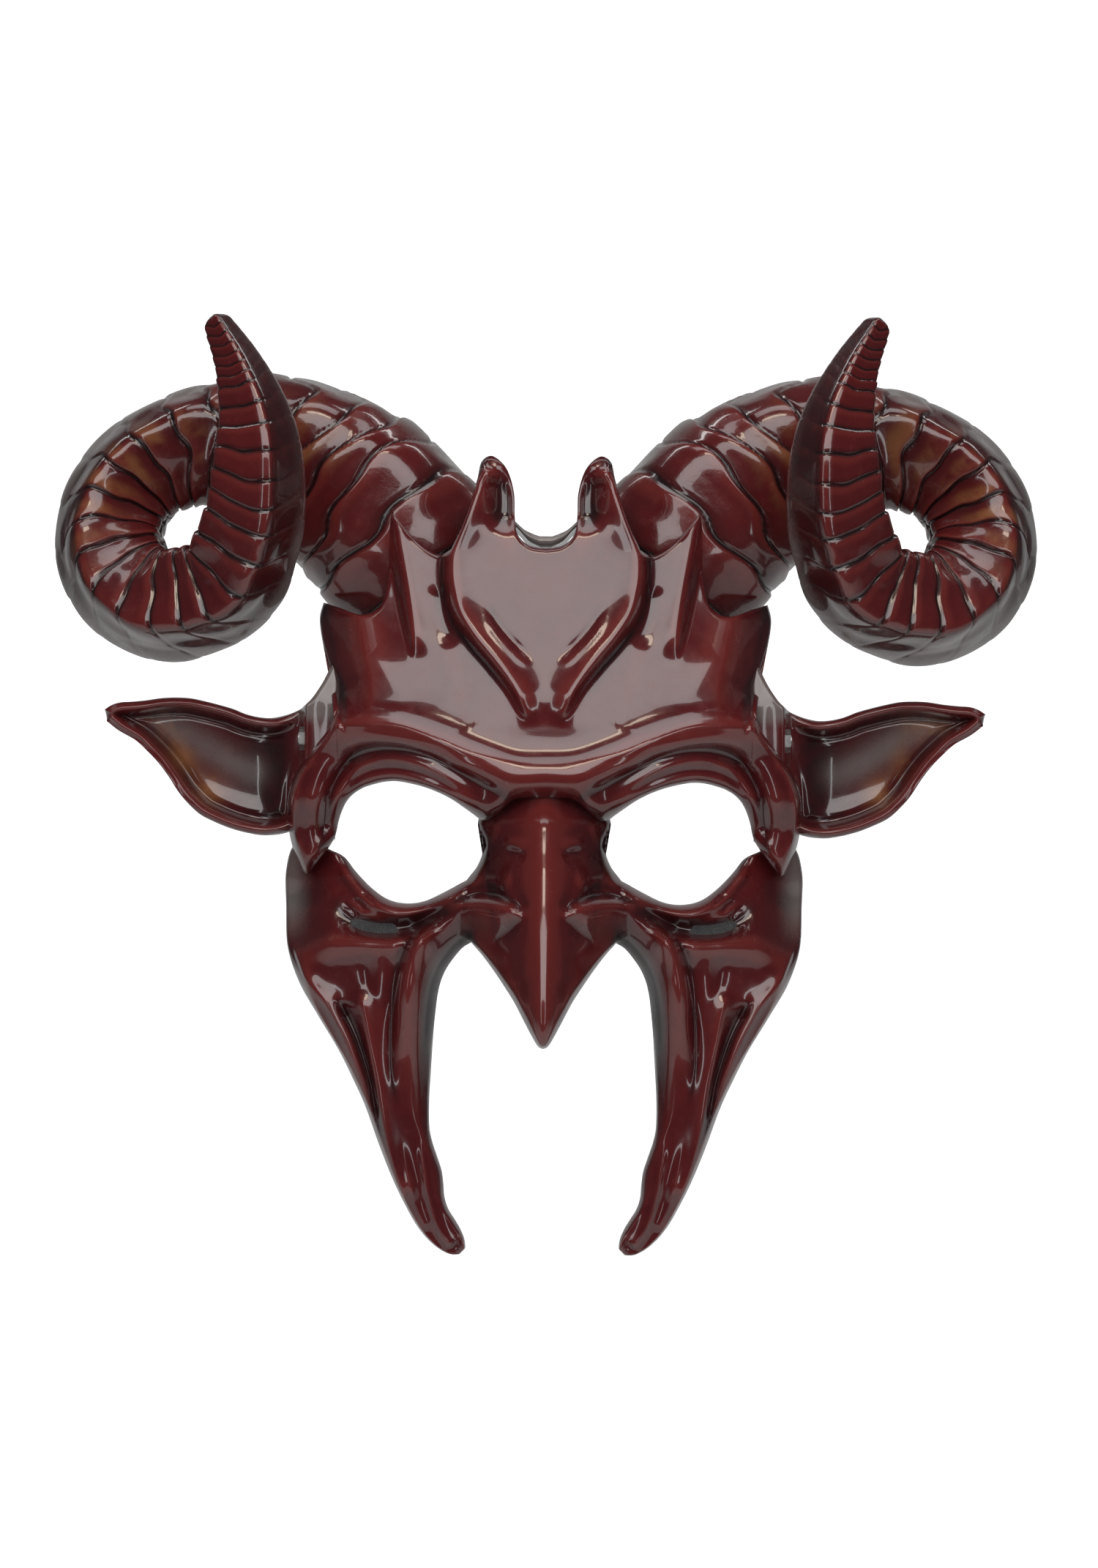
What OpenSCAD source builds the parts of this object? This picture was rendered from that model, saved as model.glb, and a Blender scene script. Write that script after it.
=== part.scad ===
// Horned goat-demon half mask: two lacquered shells, spiral ram horns, pointed ears, inner fittings.
// Millimetres. +Z is up, the face looks along -Y, and X = 0 is the mirror plane.
// The origin is the bridge of the wearer's nose at eye height, where the mask sits on the face.

/* [Shells] */
// Width of the face across the cheeks
face_w = 139; // [110:1:170]
// Height of the mask from the cheek tips to the crown spikes
face_h = 215.4; // [178:0.2:260]
// Wall of the crown and face shells
shell_t = 2.6; // [2:0.1:3.2]
// How far the beak stands forward of the nose bridge
nose_out = 24; // [16:1:30]
// How far the brow stands forward of the wearer's brow
brow_out = 17; // [14:0.5:21]
// Clearance between the crown shell and the face shell tucked behind it
seam_gap = 0.4; // [0.3:0.1:1]
// Height of the raised ribs on the crown
rib_h = 3; // [0:0.5:4]

/* [Horns] */
// Radius of the horn at its root
horn_root_r = 26; // [21:0.5:32]
// Radius of the horn's tube half way round the loop
horn_loop_r = 13; // [11:0.5:14]
// Radius of the thin end where it passes in front of the root
horn_thin_r = 8; // [6:0.5:9]
// Wall of the hollow horn
horn_t = 2.4; // [2:0.1:3]
// Number of growth rings along the horn
horn_rings = 32; // [24:1:36]
// Depth of the grooves between growth rings
groove_d = 0.9; // [0:0.1:1.4]

/* [Ears] */
// Length of an ear from the temple plate to its tip
ear_l = 52; // [44:1:60]
// Depth of the ear's cup
ear_cup = 8; // [4:0.5:11]
// Wall of the ear
ear_t = 2.4; // [2:0.1:3]

/* [Fittings] */
// Thickness of the temple plates and the saddle
plate_t = 3; // [2.4:0.1:3.6]
// Length of a temple plate, front to back
temple_l = 44; // [38:1:50]
// Radius of the strap hole through an eyelet
eyelet_r = 3; // [2.5:0.1:3.5]
// Radius of the screw shanks
screw_r = 1.5; // [1.2:0.1:1.8]
// Radius of the screw heads and washers' seats
screw_head_r = 3.2; // [2.8:0.1:3.6]
// Thickness of the foam pads
pad_t = 7; // [5:0.5:8]

/* [Hidden] */
$fn = 48;
fit = 0.2;
wide = face_w / 139;
tall = face_h / 215.4;
// How far the horns and their saddle move with the brow and with the height of the crown
seat_back = 17 - brow_out;
seat_lift = 80 * (tall - 1);
// Temple plates and what is screwed to them
plate_x = 62 * wide;
plate_y = 13.5 + seat_back;
eyelet_y = plate_y + temple_l - 8;
eyelet_z = 8 * tall;
eyelet_seat_r = eyelet_r + 1.6;
ear_screw_z = 19 * tall;
ear_screw_y = plate_y + 14;
temple_screw_y = plate_y + 5;
temple_screw_z = [3 * tall, 28 * tall];
cheek_screw_y = plate_y + 15;
cheek_screw_z = -14 * tall;
// Lugs behind the shells that the plates and the saddle are screwed to
lug_t = 3;
lug_x = plate_x - lug_t - 0.1;
// Saddle and horn roots
plug_r = horn_root_r - horn_t - groove_d - 2.2;
plug_l = 8;
seat = 1;
saddle_in = 13;
saddle_out = 15.6;
saddle_y = 3.4 + seat_back;
saddle_screw_z = 73 + seat_lift;
washer_t = 0.8;
lacquer = [0.32, 0.11, 0.09];

// ---- curves and sheets ----
// A point a share t of the way along a list, smoothly through every point of it
function smooth_at(p, t) =
    let (n = len(p) - 1, s = min(max(t, 0), 0.999999) * n, i = floor(s), f = s - i)
    let (a = p[max(i - 1, 0)], b = p[i], c = p[i + 1], d = p[min(i + 2, n)])
    0.5 * (2 * b + (c - a) * f + (2 * a - 5 * b + 4 * c - d) * f * f + (3 * b - a - 3 * c + d) * f * f * f);
// The same in straight lines, for an edge with corners
function straight_at(p, t) =
    let (n = len(p) - 1, s = min(max(t, 0), 0.999999) * n, i = floor(s))
    p[i] + (p[i + 1] - p[i]) * (s - i);
function unit(v) = v / max(norm(v), 1e-9);
function ease(a, b, x) = let (t = min(max((x - a) / (b - a), 0), 1)) t * t * (3 - 2 * t);
// Distance from point q to a stretch a-b, and to a whole line of points
function to_stretch(q, a, b) =
    let (k = min(max((q - a) * (b - a) / ((b - a) * (b - a)), 0), 1)) norm(q - a - k * (b - a));
function to_line(q, p) = min([for (i = [0:len(p) - 2]) to_stretch(q, p[i], p[i + 1])]);
// A raised or sunken fold of height h and half-width w along a line of points
function fold(q, p, h, w) = h * exp(-pow(to_line(q, p) / w, 2));

// A closed solid between two grids of the same size
module sheet(front, back) {
    n = len(front);
    m = len(front[0]);
    k = n * m;
    points = concat([for (c = front) for (p = c) p], [for (c = back) for (p = c) p]);
    inner = [for (i = [0:n - 2]) for (j = [0:m - 2]) let (a = i * m + j)
        each [[a, a + 1, a + m + 1], [a, a + m + 1, a + m]]];
    outer = [for (f = inner) [f[0] + k, f[2] + k, f[1] + k]];
    low = [for (i = [0:n - 2]) let (a = i * m) each [[a, a + m, a + m + k], [a, a + m + k, a + k]]];
    high = [for (i = [0:n - 2]) let (a = i * m + m - 1)
        each [[a, a + k, a + m + k], [a, a + m + k, a + m]]];
    first = [for (j = [0:m - 2]) each [[j, j + k, j + 1 + k], [j, j + 1 + k, j + 1]]];
    last = [for (j = [0:m - 2]) let (a = (n - 1) * m + j)
        each [[a, a + 1, a + 1 + k], [a, a + 1 + k, a + k]]];
    polyhedron(points, concat(inner, outer, low, high, first, last));
}

// Half a grid of columns, in x > 0, made whole across the mirror plane
function mirrored(half) = concat(
    [for (i = [len(half) - 1:-1:1]) [for (p = half[i]) [-p[0], p[1], p[2]]]],
    half);
function scaled(p) = [for (q = p) [q[0] * wide, q[1] * tall]];

// ---- crown shell ----
// Lower edge from the middle, under the brow, over the eye and down to the outer corner
crown_low = scaled([[0, 12.4], [4, 12.2], [7, 12], [9, 11], [10.5, 9], [12, 7], [14, 4.5], [15.8, 3.5],
    [20, 8], [27.5, 13], [31, 14.6], [33, 15.1], [37, 16], [41, 16.5], [45, 16], [49, 14.9], [52, 13],
    [54, 10], [55.5, 6], [57, 1.5], [59, -2.5], [61, -6]]);
// Upper edge from the middle notch over three points and down the outside of the eye socket
crown_high = scaled([[0, 79], [5.5, 80], [9, 86], [11, 101], [15.3, 104], [18, 99], [22, 87], [25.5, 79.5],
    [30, 78], [38, 85], [42, 89.3], [42.4, 78], [44, 64], [50, 61.6], [60, 65], [61, 56], [58.5, 47.5],
    [56.5, 38], [62.5, 27], [68.6, 17], [69.5, 8], [66, -4]]);
big_rib = [[18, 95], [22.5, 86], [26, 77], [25.5, 66], [20.5, 55], [13, 47.5], [6.3, 40], [4, 30]];
outer_rib = [[42, 88], [39.5, 73], [36, 58.5], [32, 44]];
brow_line = [[0, 17], [9, 16], [19, 21], [30, 26], [42, 28.5], [54, 28], [61, 20], [64, 8], [63, -3]];
inner_corner = [[13, 3], [18, 5]];
lid_line = [[17, 10], [24, 15.5], [33, 19], [44, 20], [53, 16.5], [58, 9]];

// Front face of the crown at x, z: it leans back and wraps round the head, and then carries its ribs
function crown_plain_y(p) =
    let (x = abs(p[0]) / wide, z = p[1] / tall)
    -brow_out + 0.0045 * x * x + 13 * ease(22, 70, z) + 4 * ease(60, 100, z)
    + 5 * ease(14, 2, z) * ease(14, 40, x) + 6 * ease(34, 22, z) * ease(30, 60, x);
function crown_y(p) =
    let (q = [abs(p[0]) / wide, p[1] / tall])
    crown_plain_y(p) - fold(q, big_rib, rib_h, 4) - fold(q, outer_rib, rib_h * 0.7, 4)
    - fold(q, brow_line, 4, 5) + fold(q, lid_line, 2.5, 3.5) + fold(q, inner_corner, 7, 6);
crown_cols = 63;
crown_rows = 13;
crown_half = [for (i = [0:crown_cols]) let (a = straight_at(crown_low, i / crown_cols),
        b = straight_at(crown_high, i / crown_cols))
    [for (j = [0:crown_rows]) let (q = a + (b - a) * pow(j / crown_rows, 1.25)) [q[0], crown_y(q), q[1]]]];
crown_front = mirrored(crown_half);

// A lug with its inner face at x, its screw at y and z, standing on the shell at from
module lug(x, y, z, from) {
    difference() {
        translate([x, from, z - 3.5]) cube([lug_t, y + 4 - from, 7]);
        along_x(x - 1, y, z) cylinder(lug_t + 2, r = screw_r + fit);
    }
}
module crown_shell() {
    color(lacquer) union() {
        sheet(crown_front, [for (c = crown_front) [for (p = c) p + [0, shell_t, 0]]]);
        both_sides() {
            for (z = temple_screw_z) lug(lug_x, temple_screw_y, z, crown_y([lug_x + 1, z]) + shell_t / 2);
            lug(saddle_in - lug_t - 0.1, saddle_y + 5, saddle_screw_z,
                crown_y([saddle_in - 2, saddle_screw_z]) + shell_t / 2);
        }
    }
}

// ---- face shell ----
// Outer edge from under the brow, below the eye, down the cheek to the hanging tip
face_outer = scaled([[0, 14], [4, 13.6], [8, 12.5], [10.8, 6], [14, -0.6], [17.2, -6], [21, -10], [27, -13],
    [33, -16.2], [41, -16.2], [48, -11.8], [54, -5.8], [58, -2.6], [62, -1.6], [67, -3], [69.5, -18],
    [68.8, -30], [64, -42], [55.8, -56], [48.3, -71], [43, -85], [37.4, -98], [33, -105.4], [28, -110],
    [23.5, -111.4]]);
// Inner edge from the beak's tip up to the mouth corner and down the inside of the hanging strand
face_inner = scaled([[0, -53.4], [2.3, -51], [6.8, -43.5], [10.2, -38], [13.5, -33.5], [16.5, -29.5],
    [19.6, -26.8], [22.5, -29], [25, -32], [27, -36], [28.4, -41], [29.1, -47], [29.6, -52], [30, -57],
    [30.3, -62], [30.5, -66], [30.6, -70], [30.6, -74], [30.2, -79], [28.9, -84.5], [27, -90.5],
    [25.8, -96.5], [24, -101], [22.2, -104], [21, -107]]);
crest = [[3, -26], [9, -20], [16, -18], [23, -19.5], [30, -25], [34, -35], [34.5, -50], [34, -68]];
cheekbone = [[68, -31], [58, -30], [46, -29]];
strand_rib = [[52, -44], [44, -62], [38, -80], [32, -95], [25, -108]];

// Front face of the face shell at x, z and a share v of the way from its outer to its inner edge
function face_plain_y(p, v) =
    let (x = abs(p[0]) / wide, z = p[1] / tall)
    let (ridge = nose_out * ease(26, -42, z) + 3 * ease(-30, -56, z) + brow_out - 7 - 3 * ease(4, 12, z))
    let (nose = max(0, 1 - x / (16 + 5 * ease(0, -22, z))))
    let (strand = ease(-26, -44, z))
    -5 + 0.0045 * x * x - 5 * ease(-10, -28, z) * ease(24, 40, x) + 8 * ease(-40, -112, z)
    - ridge * pow(nose, 1.1) + 6 * ease(34, 22, z) * ease(30, 60, x) * ease(-20, -6, z)
    + seat_back * ease(-30, 0, z) * ease(30, 50, x) + seam_gap * ease(-8, 0, z)
    + 14 * strand * pow(max(0, 1 - 4 * v), 2) + 9 * strand * pow(max(0, 5 * v - 4), 2)
    + 8 * ease(56, 69, x) * (1 - strand) * ease(-8, -18, z);
function face_y(p, v) =
    let (q = [abs(p[0]) / wide, p[1] / tall])
    face_plain_y(p, v) - fold(q, crest, 4, 4) - fold(q, cheekbone, 3.5, 6) - fold(q, strand_rib, 2, 5);
face_cols = 48;
face_rows = 12;
face_half = [for (i = [0:face_cols]) let (a = smooth_at(face_outer, i / face_cols),
        b = smooth_at(face_inner, i / face_cols))
    [for (j = [0:face_rows]) let (v = 1 - j / face_rows, q = a + (b - a) * v)
        [i == 0 ? 0 : q[0], face_y(q, v), q[1]]]];
face_front = mirrored(face_half);

module face_shell() {
    color(lacquer) union() {
        sheet(face_front, [for (c = face_front) [for (p = c) p + [0, shell_t, 0]]]);
        both_sides() lug(lug_x, cheek_screw_y, cheek_screw_z,
            face_y([lug_x + 1, cheek_screw_z], 0.4) + shell_t / 2);
    }
}

// ---- horns ----
// Middle line of the right horn, from its root in the saddle, back round the loop and forward to the tip;
// a thicker root stands further back from the crown and further from the saddle band
root_out = [0.8 * (horn_root_r - 26), horn_root_r - 26, 0];
horn_line = [[33, 37, 74], [38, 37, 80], [51, 37, 94], [72, 38, 107], [98, 40, 108], [115.5, 40, 99],
    [121.5, 36, 84], [116, 28, 70], [103, 18, 63.5], [87, 6, 69], [80.5, -2, 84], [79, -5, 100],
    [79.5, -3, 114], [84.5, 0, 128], [92, 3, 142]];
horn_path = [for (i = [0:len(horn_line) - 1])
    horn_line[i] + [0, seat_back, seat_lift] + (i < 3 ? root_out : [0, 0, 0])];
horn_sizes = [horn_root_r, horn_root_r, horn_root_r * 0.96, 21, 15.5, horn_loop_r, horn_loop_r, horn_loop_r,
    13, 11.5, 9.3, horn_thin_r, horn_thin_r, 6.4, 3];
horn_sides = 12;
horn_cuts = 2 * horn_rings;
horn_hollow = 2 * round(0.4 * horn_cuts);
horn_axis = unit(smooth_at(horn_path, 0.01) - smooth_at(horn_path, 0));

// A ring of points round the middle line: rounded, with a keel on its outer front corner
function horn_ring(t, r, keel) =
    let (c = smooth_at(horn_path, t))
    let (d = unit(smooth_at(horn_path, t + 0.01) - smooth_at(horn_path, t - 0.01)))
    let (side = unit(cross([0, 1, 0], d)), up = unit(cross(d, side)))
    [for (k = [0:horn_sides - 1]) let (a = 360 * k / horn_sides)
        c + r * (1 + keel * pow(max(0, cos(a - 130)), 6)) * (cos(a) * side - sin(a) * up)];
function horn_r(t) = smooth_at(horn_sizes, t);

// A tube closed at its tip, open at its root, with its own inside face
module horn() {
    n = horn_cuts;
    s = horn_sides;
    m = horn_hollow;
    skin = [for (i = [0:n]) let (t = i / n) each horn_ring(t, max(horn_r(t) - (i % 2) * groove_d, 1), 0.12)];
    bore = [for (i = [0:m]) let (t = i / n) each horn_ring(t, horn_r(t) - groove_d - horn_t, 0)];
    k = len(skin);
    function quad(a, b, c, d) = [[a, b, c], [a, c, d]];
    faces = concat(
        [for (i = [0:n - 1]) for (j = [0:s - 1]) let (u = (j + 1) % s)
            each quad(i * s + j, i * s + u, (i + 1) * s + u, (i + 1) * s + j)],
        [[for (j = [0:s - 1]) n * s + j]],
        [for (i = [0:m - 1]) for (j = [0:s - 1]) let (u = (j + 1) % s)
            each quad(k + i * s + u, k + i * s + j, k + (i + 1) * s + j, k + (i + 1) * s + u)],
        [[for (j = [s - 1:-1:0]) k + m * s + j]],
        [for (j = [0:s - 1]) let (u = (j + 1) % s) each quad(j, k + j, k + u, u)]);
    polyhedron(concat(skin, bore), faces);
}
module right_horn() {
    color(lacquer) horn();
}
module left_horn() {
    color(lacquer) mirror([1, 0, 0]) horn();
}

// Anything stood on the root of the right horn, its +Z along the horn
module at_root() {
    translate(horn_path[0])
        rotate([0, acos(horn_axis[2]), atan2(horn_axis[1], horn_axis[0])]) children();
}
module both_sides() {
    children();
    mirror([1, 0, 0]) children();
}

// ---- saddle, plugs and screws ----
module saddle_band(low, high, half, front, back) {
    translate([0, back, seat_lift]) rotate([90, 0, 0]) linear_extrude(back - front)
        polygon([[-half, high + 1.4], [-9, high], [0, high - 3.5], [9, high], [half, high + 1.4], [half, low],
                [-half, low]]);
}
module saddle() {
    color([0.4, 0.37, 0.36]) difference() {
        union() {
            saddle_band(66, 86, saddle_out, saddle_y, 46 + seat_back);
            both_sides() at_root() translate([0, 0, -plate_t - seat]) cylinder(plate_t, r = horn_root_r - 3);
        }
        saddle_band(62, 83, saddle_in, saddle_y - 1, 50 + seat_back);
        both_sides() at_root() for (a = [90, 270]) rotate(a) translate([10, 0, -plate_t - seat - 1])
            cylinder(plate_t + 2, r = screw_r + fit);
        both_sides() along_x(saddle_in - 1, saddle_y + 5, saddle_screw_z)
            cylinder(saddle_out - saddle_in + 2, r = screw_r + fit);
    }
}
// A screw along X with its head at the origin's side of 0 and its shank reaching to +l
module side_screw(l) {
    translate([0, 0, -2.05]) cylinder(2, r1 = screw_head_r - 0.8, r2 = screw_head_r);
    translate([0, 0, -0.1]) cylinder(l + 0.1, r = screw_r);
}
module side_nut() {
    difference() {
        cylinder(1.7, r = screw_head_r, $fn = 6);
        translate([0, 0, -1]) cylinder(4, r = screw_r + 0.05);
    }
}
module saddle_screws() {
    color([0.7, 0.7, 0.72]) both_sides() translate([saddle_out, saddle_y + 5, saddle_screw_z])
        rotate([0, -90, 0]) side_screw(saddle_out - saddle_in + lug_t + 2.2);
}
module saddle_nuts() {
    color([0.7, 0.7, 0.72]) both_sides() translate([saddle_in - lug_t - 0.15, saddle_y + 5, saddle_screw_z])
        rotate([0, -90, 0]) side_nut();
}
module horn_plug() {
    color([0.5, 0.4, 0.28]) at_root() difference() {
        translate([0, 0, -seat + 0.1]) cylinder(plug_l, r = plug_r);
        for (a = [90, 270]) rotate(a) translate([10, 0, -2]) cylinder(plug_l + 4, r = screw_r + 0.05);
    }
}
module right_horn_plug() {
    horn_plug();
}
module left_horn_plug() {
    mirror([1, 0, 0]) horn_plug();
}
module at_horn_screws() {
    both_sides() at_root() for (a = [90, 270]) rotate(a) translate([10, 0, -plate_t - seat]) children();
}
module horn_screws() {
    color([0.7, 0.7, 0.72]) at_horn_screws() {
        translate([0, 0, -washer_t - 2.05]) cylinder(2, r1 = screw_head_r - 0.8, r2 = screw_head_r);
        translate([0, 0, -washer_t - 0.1]) cylinder(washer_t + plate_t + seat + 5, r = screw_r);
    }
}
module horn_washers() {
    color([0.7, 0.7, 0.72]) at_horn_screws() translate([0, 0, -washer_t]) difference() {
        cylinder(washer_t - 0.02, r = screw_head_r + 1);
        translate([0, 0, -1]) cylinder(washer_t + 2, r = screw_r + fit);
    }
}

// ---- temple plates, ears and eyelets ----
module along_x(x, y, z) {
    translate([x, y, z]) rotate([0, 90, 0]) children();
}
module temple_plate() {
    color(lacquer) difference() {
        translate([plate_x, 0, 0]) rotate([90, 0, 90]) linear_extrude(plate_t)
            polygon([[plate_y, 0], [cheek_screw_y - 5, 0], [cheek_screw_y - 4.5, cheek_screw_z - 4.5],
                [cheek_screw_y + 4.5, cheek_screw_z - 4.5], [eyelet_y, eyelet_z - 8],
                [eyelet_y + 6, eyelet_z - 5], [eyelet_y + 8, eyelet_z], [eyelet_y + 6, eyelet_z + 5],
                [eyelet_y, eyelet_z + 8], [plate_y + 22, 27 * tall], [plate_y + 12, 34 * tall],
                [plate_y, 34 * tall]]);
        along_x(plate_x - 1, eyelet_y, eyelet_z) cylinder(plate_t + 2, r = eyelet_seat_r);
        along_x(plate_x - 1, ear_screw_y, ear_screw_z) cylinder(plate_t + 2, r = screw_r + fit);
        for (z = temple_screw_z) along_x(plate_x - 1, temple_screw_y, z)
            cylinder(plate_t + 2, r = screw_r + fit);
        along_x(plate_x - 1, cheek_screw_y, cheek_screw_z) cylinder(plate_t + 2, r = screw_r + fit);
    }
}
module right_temple_plate() {
    temple_plate();
}
module left_temple_plate() {
    mirror([1, 0, 0]) temple_plate();
}
module at_temple_screws(x) {
    both_sides() {
        for (z = temple_screw_z) along_x(x, temple_screw_y, z) children();
        along_x(x, cheek_screw_y, cheek_screw_z) children();
    }
}
module temple_screws() {
    color([0.7, 0.7, 0.72]) at_temple_screws(lug_x) side_screw(lug_t + plate_t + 2.1);
}
module temple_nuts() {
    color([0.7, 0.7, 0.72]) at_temple_screws(plate_x + plate_t + 0.02) side_nut();
}
module ear_screws() {
    color([0.7, 0.7, 0.72]) both_sides() along_x(plate_x, ear_screw_y, ear_screw_z) side_screw(plate_t + 4);
}
module strap_eyelet() {
    color([0.72, 0.58, 0.3]) along_x(plate_x, eyelet_y, eyelet_z) rotate_extrude()
        polygon([[eyelet_r, -1], [eyelet_seat_r + 1.8, -1], [eyelet_seat_r + 1.8, -0.05],
            [eyelet_seat_r - 0.05, -0.05], [eyelet_seat_r - 0.05, plate_t + 0.05],
            [eyelet_seat_r + 1.8, plate_t + 0.05], [eyelet_seat_r + 1.8, plate_t + 1],
            [eyelet_r, plate_t + 1]]);
}
module right_strap_eyelet() {
    strap_eyelet();
}
module left_strap_eyelet() {
    mirror([1, 0, 0]) strap_eyelet();
}

ear_x = plate_x + plate_t + 0.4;
function ear_place(p) = [for (q = p) [ear_x + q[0] * ear_l / 52, q[1] * tall]];
ear_low = ear_place([[0, 6], [6, 2], [12, 1.6], [20, 3.4], [28, 7], [34, 13], [40, 21.5], [46, 27.5],
    [53, 32.3]]);
ear_high = ear_place([[0, 33], [4, 34.5], [9, 33.4], [16, 34.6], [23, 37], [31, 38.8], [39, 38.8], [47, 37],
    [53.8, 34]]);
function ear_y(s, t) = plate_y + 9 - 4 * ease(0.1, 0.6, s)
    + ear_cup * ease(0, 0.3, s) * (1 - 0.75 * ease(0.5, 1, s))
    * (1 - pow(abs(2 * t - 1), 3));
ear_cols = 20;
ear_rows = 10;
ear_front = [for (i = [0:ear_cols])
    let (s = i / ear_cols, a = smooth_at(ear_low, s), b = smooth_at(ear_high, s))
    [for (j = [0:ear_rows]) let (t = j / ear_rows, q = a + (b - a) * t) [q[0], ear_y(s, t), q[1]]]];
module ear() {
    color(lacquer) difference() {
        union() {
            sheet(ear_front, [for (c = ear_front) [for (p = c) p + [0, ear_t, 0]]]);
            along_x(ear_x - 0.2, ear_screw_y, ear_screw_z) cylinder(9, r = 5.5);
        }
        along_x(ear_x - 1, ear_screw_y, ear_screw_z) cylinder(6.2, r = screw_r + 0.05);
    }
}
module right_ear() {
    ear();
}
module left_ear() {
    mirror([1, 0, 0]) ear();
}

// ---- pads ----
// Foam cut to a rounded rectangle about cx, cz that follows the inside of a shell
pad_gap = 0.5;
pad_n = 10;
function pad_at(cx, cz, half_w, half_h, u, w) =
    [cx + half_w * u * sqrt(1 - 0.4 * w * w), cz + half_h * w * sqrt(1 - 0.4 * u * u)];
function pad_grid(cx, cz, half_w, half_h) = [for (i = [-pad_n:pad_n]) [for (j = [-pad_n / 2:pad_n / 2])
    pad_at(cx * wide, cz * tall, half_w, half_h, i / pad_n, 2 * j / pad_n)]];
module foam(grid, deep) {
    color([0.12, 0.12, 0.13]) sheet(
        [for (c = grid) [for (p = c) p + [0, shell_t + pad_gap, 0]]],
        [for (c = grid) [for (p = c) p + [0, shell_t + pad_gap + deep, 0]]]);
}
module forehead_pad() {
    foam([for (c = pad_grid(0, 46, 30, 9)) [for (q = c) [q[0], crown_plain_y(q), q[1]]]], pad_t);
}
module nose_pad() {
    foam([for (c = pad_grid(0, 0, 7, 6)) [for (q = c) [q[0], face_plain_y(q, 0.5) + 0.4, q[1]]]],
        pad_t * 0.6);
}
module cheek_pad() {
    foam([for (c = pad_grid(47, -30, 9, 11)) [for (q = c) [q[0], face_plain_y(q, 0.5), q[1]]]], pad_t);
}
module right_cheek_pad() {
    cheek_pad();
}
module left_cheek_pad() {
    mirror([1, 0, 0]) cheek_pad();
}

crown_shell();
face_shell();
saddle();
left_horn();
right_horn();
left_horn_plug();
right_horn_plug();
horn_screws();
horn_washers();
left_ear();
right_ear();
ear_screws();
left_temple_plate();
right_temple_plate();
temple_screws();
temple_nuts();
left_strap_eyelet();
right_strap_eyelet();
saddle_screws();
saddle_nuts();
forehead_pad();
nose_pad();
left_cheek_pad();
right_cheek_pad();
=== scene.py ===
import math

import bpy
import numpy as np
from mathutils import Matrix, Vector


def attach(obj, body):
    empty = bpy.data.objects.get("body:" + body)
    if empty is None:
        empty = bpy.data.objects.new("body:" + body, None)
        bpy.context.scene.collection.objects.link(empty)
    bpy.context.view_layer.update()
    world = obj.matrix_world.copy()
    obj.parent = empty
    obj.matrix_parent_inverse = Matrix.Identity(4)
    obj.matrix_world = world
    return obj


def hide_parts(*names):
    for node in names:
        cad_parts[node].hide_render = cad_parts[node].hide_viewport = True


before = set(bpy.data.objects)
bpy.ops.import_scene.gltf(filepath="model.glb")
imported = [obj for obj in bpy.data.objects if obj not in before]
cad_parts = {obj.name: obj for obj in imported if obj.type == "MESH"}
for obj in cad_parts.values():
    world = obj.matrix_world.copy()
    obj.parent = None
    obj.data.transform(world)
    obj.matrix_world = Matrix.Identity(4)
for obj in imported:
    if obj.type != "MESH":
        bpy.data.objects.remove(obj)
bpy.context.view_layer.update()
mm = 0.001


# 0 below a, 1 above b, and a smooth S in between
def ease(a, b, x):
    t = np.clip((np.asarray(x, float) - a) / (b - a), 0, 1)
    return t * t * (3 - 2 * t)


# exp(-(d / w)^2): 1 at d = 0, dying away past w
def bell(d, w):
    return np.exp(-((np.asarray(d, float) / w) ** 2))


# Hermite curve through the points, sharp at the numbered corners, with counts[i] samples on stretch i: each
# inner tangent is half the step from the point before to the point after
def curveThrough(points, counts, corners=()):
    p = np.array(points, float)
    last = len(p) - 1
    out = []
    for i in range(last):
        a, b = p[i], p[i + 1]
        leave = (b - p[i - 1]) / 2 if i > 0 and i not in corners else b - a
        arrive = (p[i + 2] - a) / 2 if i + 2 <= last and i + 1 not in corners else b - a
        t = (np.arange(counts[i]) / counts[i])[:, None]
        out.append(
            (2 * t**3 - 3 * t**2 + 1) * a + (t**3 - 2 * t**2 + t) * leave
            + (3 * t**2 - 2 * t**3) * b + (t**3 - t**2) * arrive
        )
    return np.vstack(out + [p[last:]])


# Distance, side (+ to the left of the line's direction) and share of the way along, from every x, z to a line
def lineField(x, z, points, samples=8):
    line = curveThrough(points, [samples] * (len(points) - 1))
    best = np.full(x.shape, 1e9)
    side = np.zeros(x.shape)
    along = np.zeros(x.shape)
    for i in range(len(line) - 1):
        a, d = line[i], line[i + 1] - line[i]
        k = np.clip(((x - a[0]) * d[0] + (z - a[1]) * d[1]) / (d @ d + 1e-12), 0, 1)
        ox, oz = x - a[0] - k * d[0], z - a[1] - k * d[1]
        dist = np.hypot(ox, oz)
        nearer = dist < best
        best = np.where(nearer, dist, best)
        side = np.where(nearer, np.sign(d[0] * oz - d[1] * ox), side)
        along = np.where(nearer, (i + k) / (len(line) - 1), along)
    return best, side, along


# Height of a ridge along a line: left and right are its half-widths on either side, and it fades in and out
def ridge(x, z, points, height, left, right, fadeIn=0.1, fadeOut=0.1, power=2.0):
    dist, side, along = lineField(x, z, points)
    width = np.where(side > 0, left, right)
    shape = np.exp(-((dist / width) ** power))
    ends = 1.0
    if fadeIn > 0:
        ends = ends * ease(0, fadeIn, along)
    if fadeOut > 0:
        ends = ends * (1 - ease(1 - fadeOut, 1, along))
    return height * shape * ends


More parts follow.
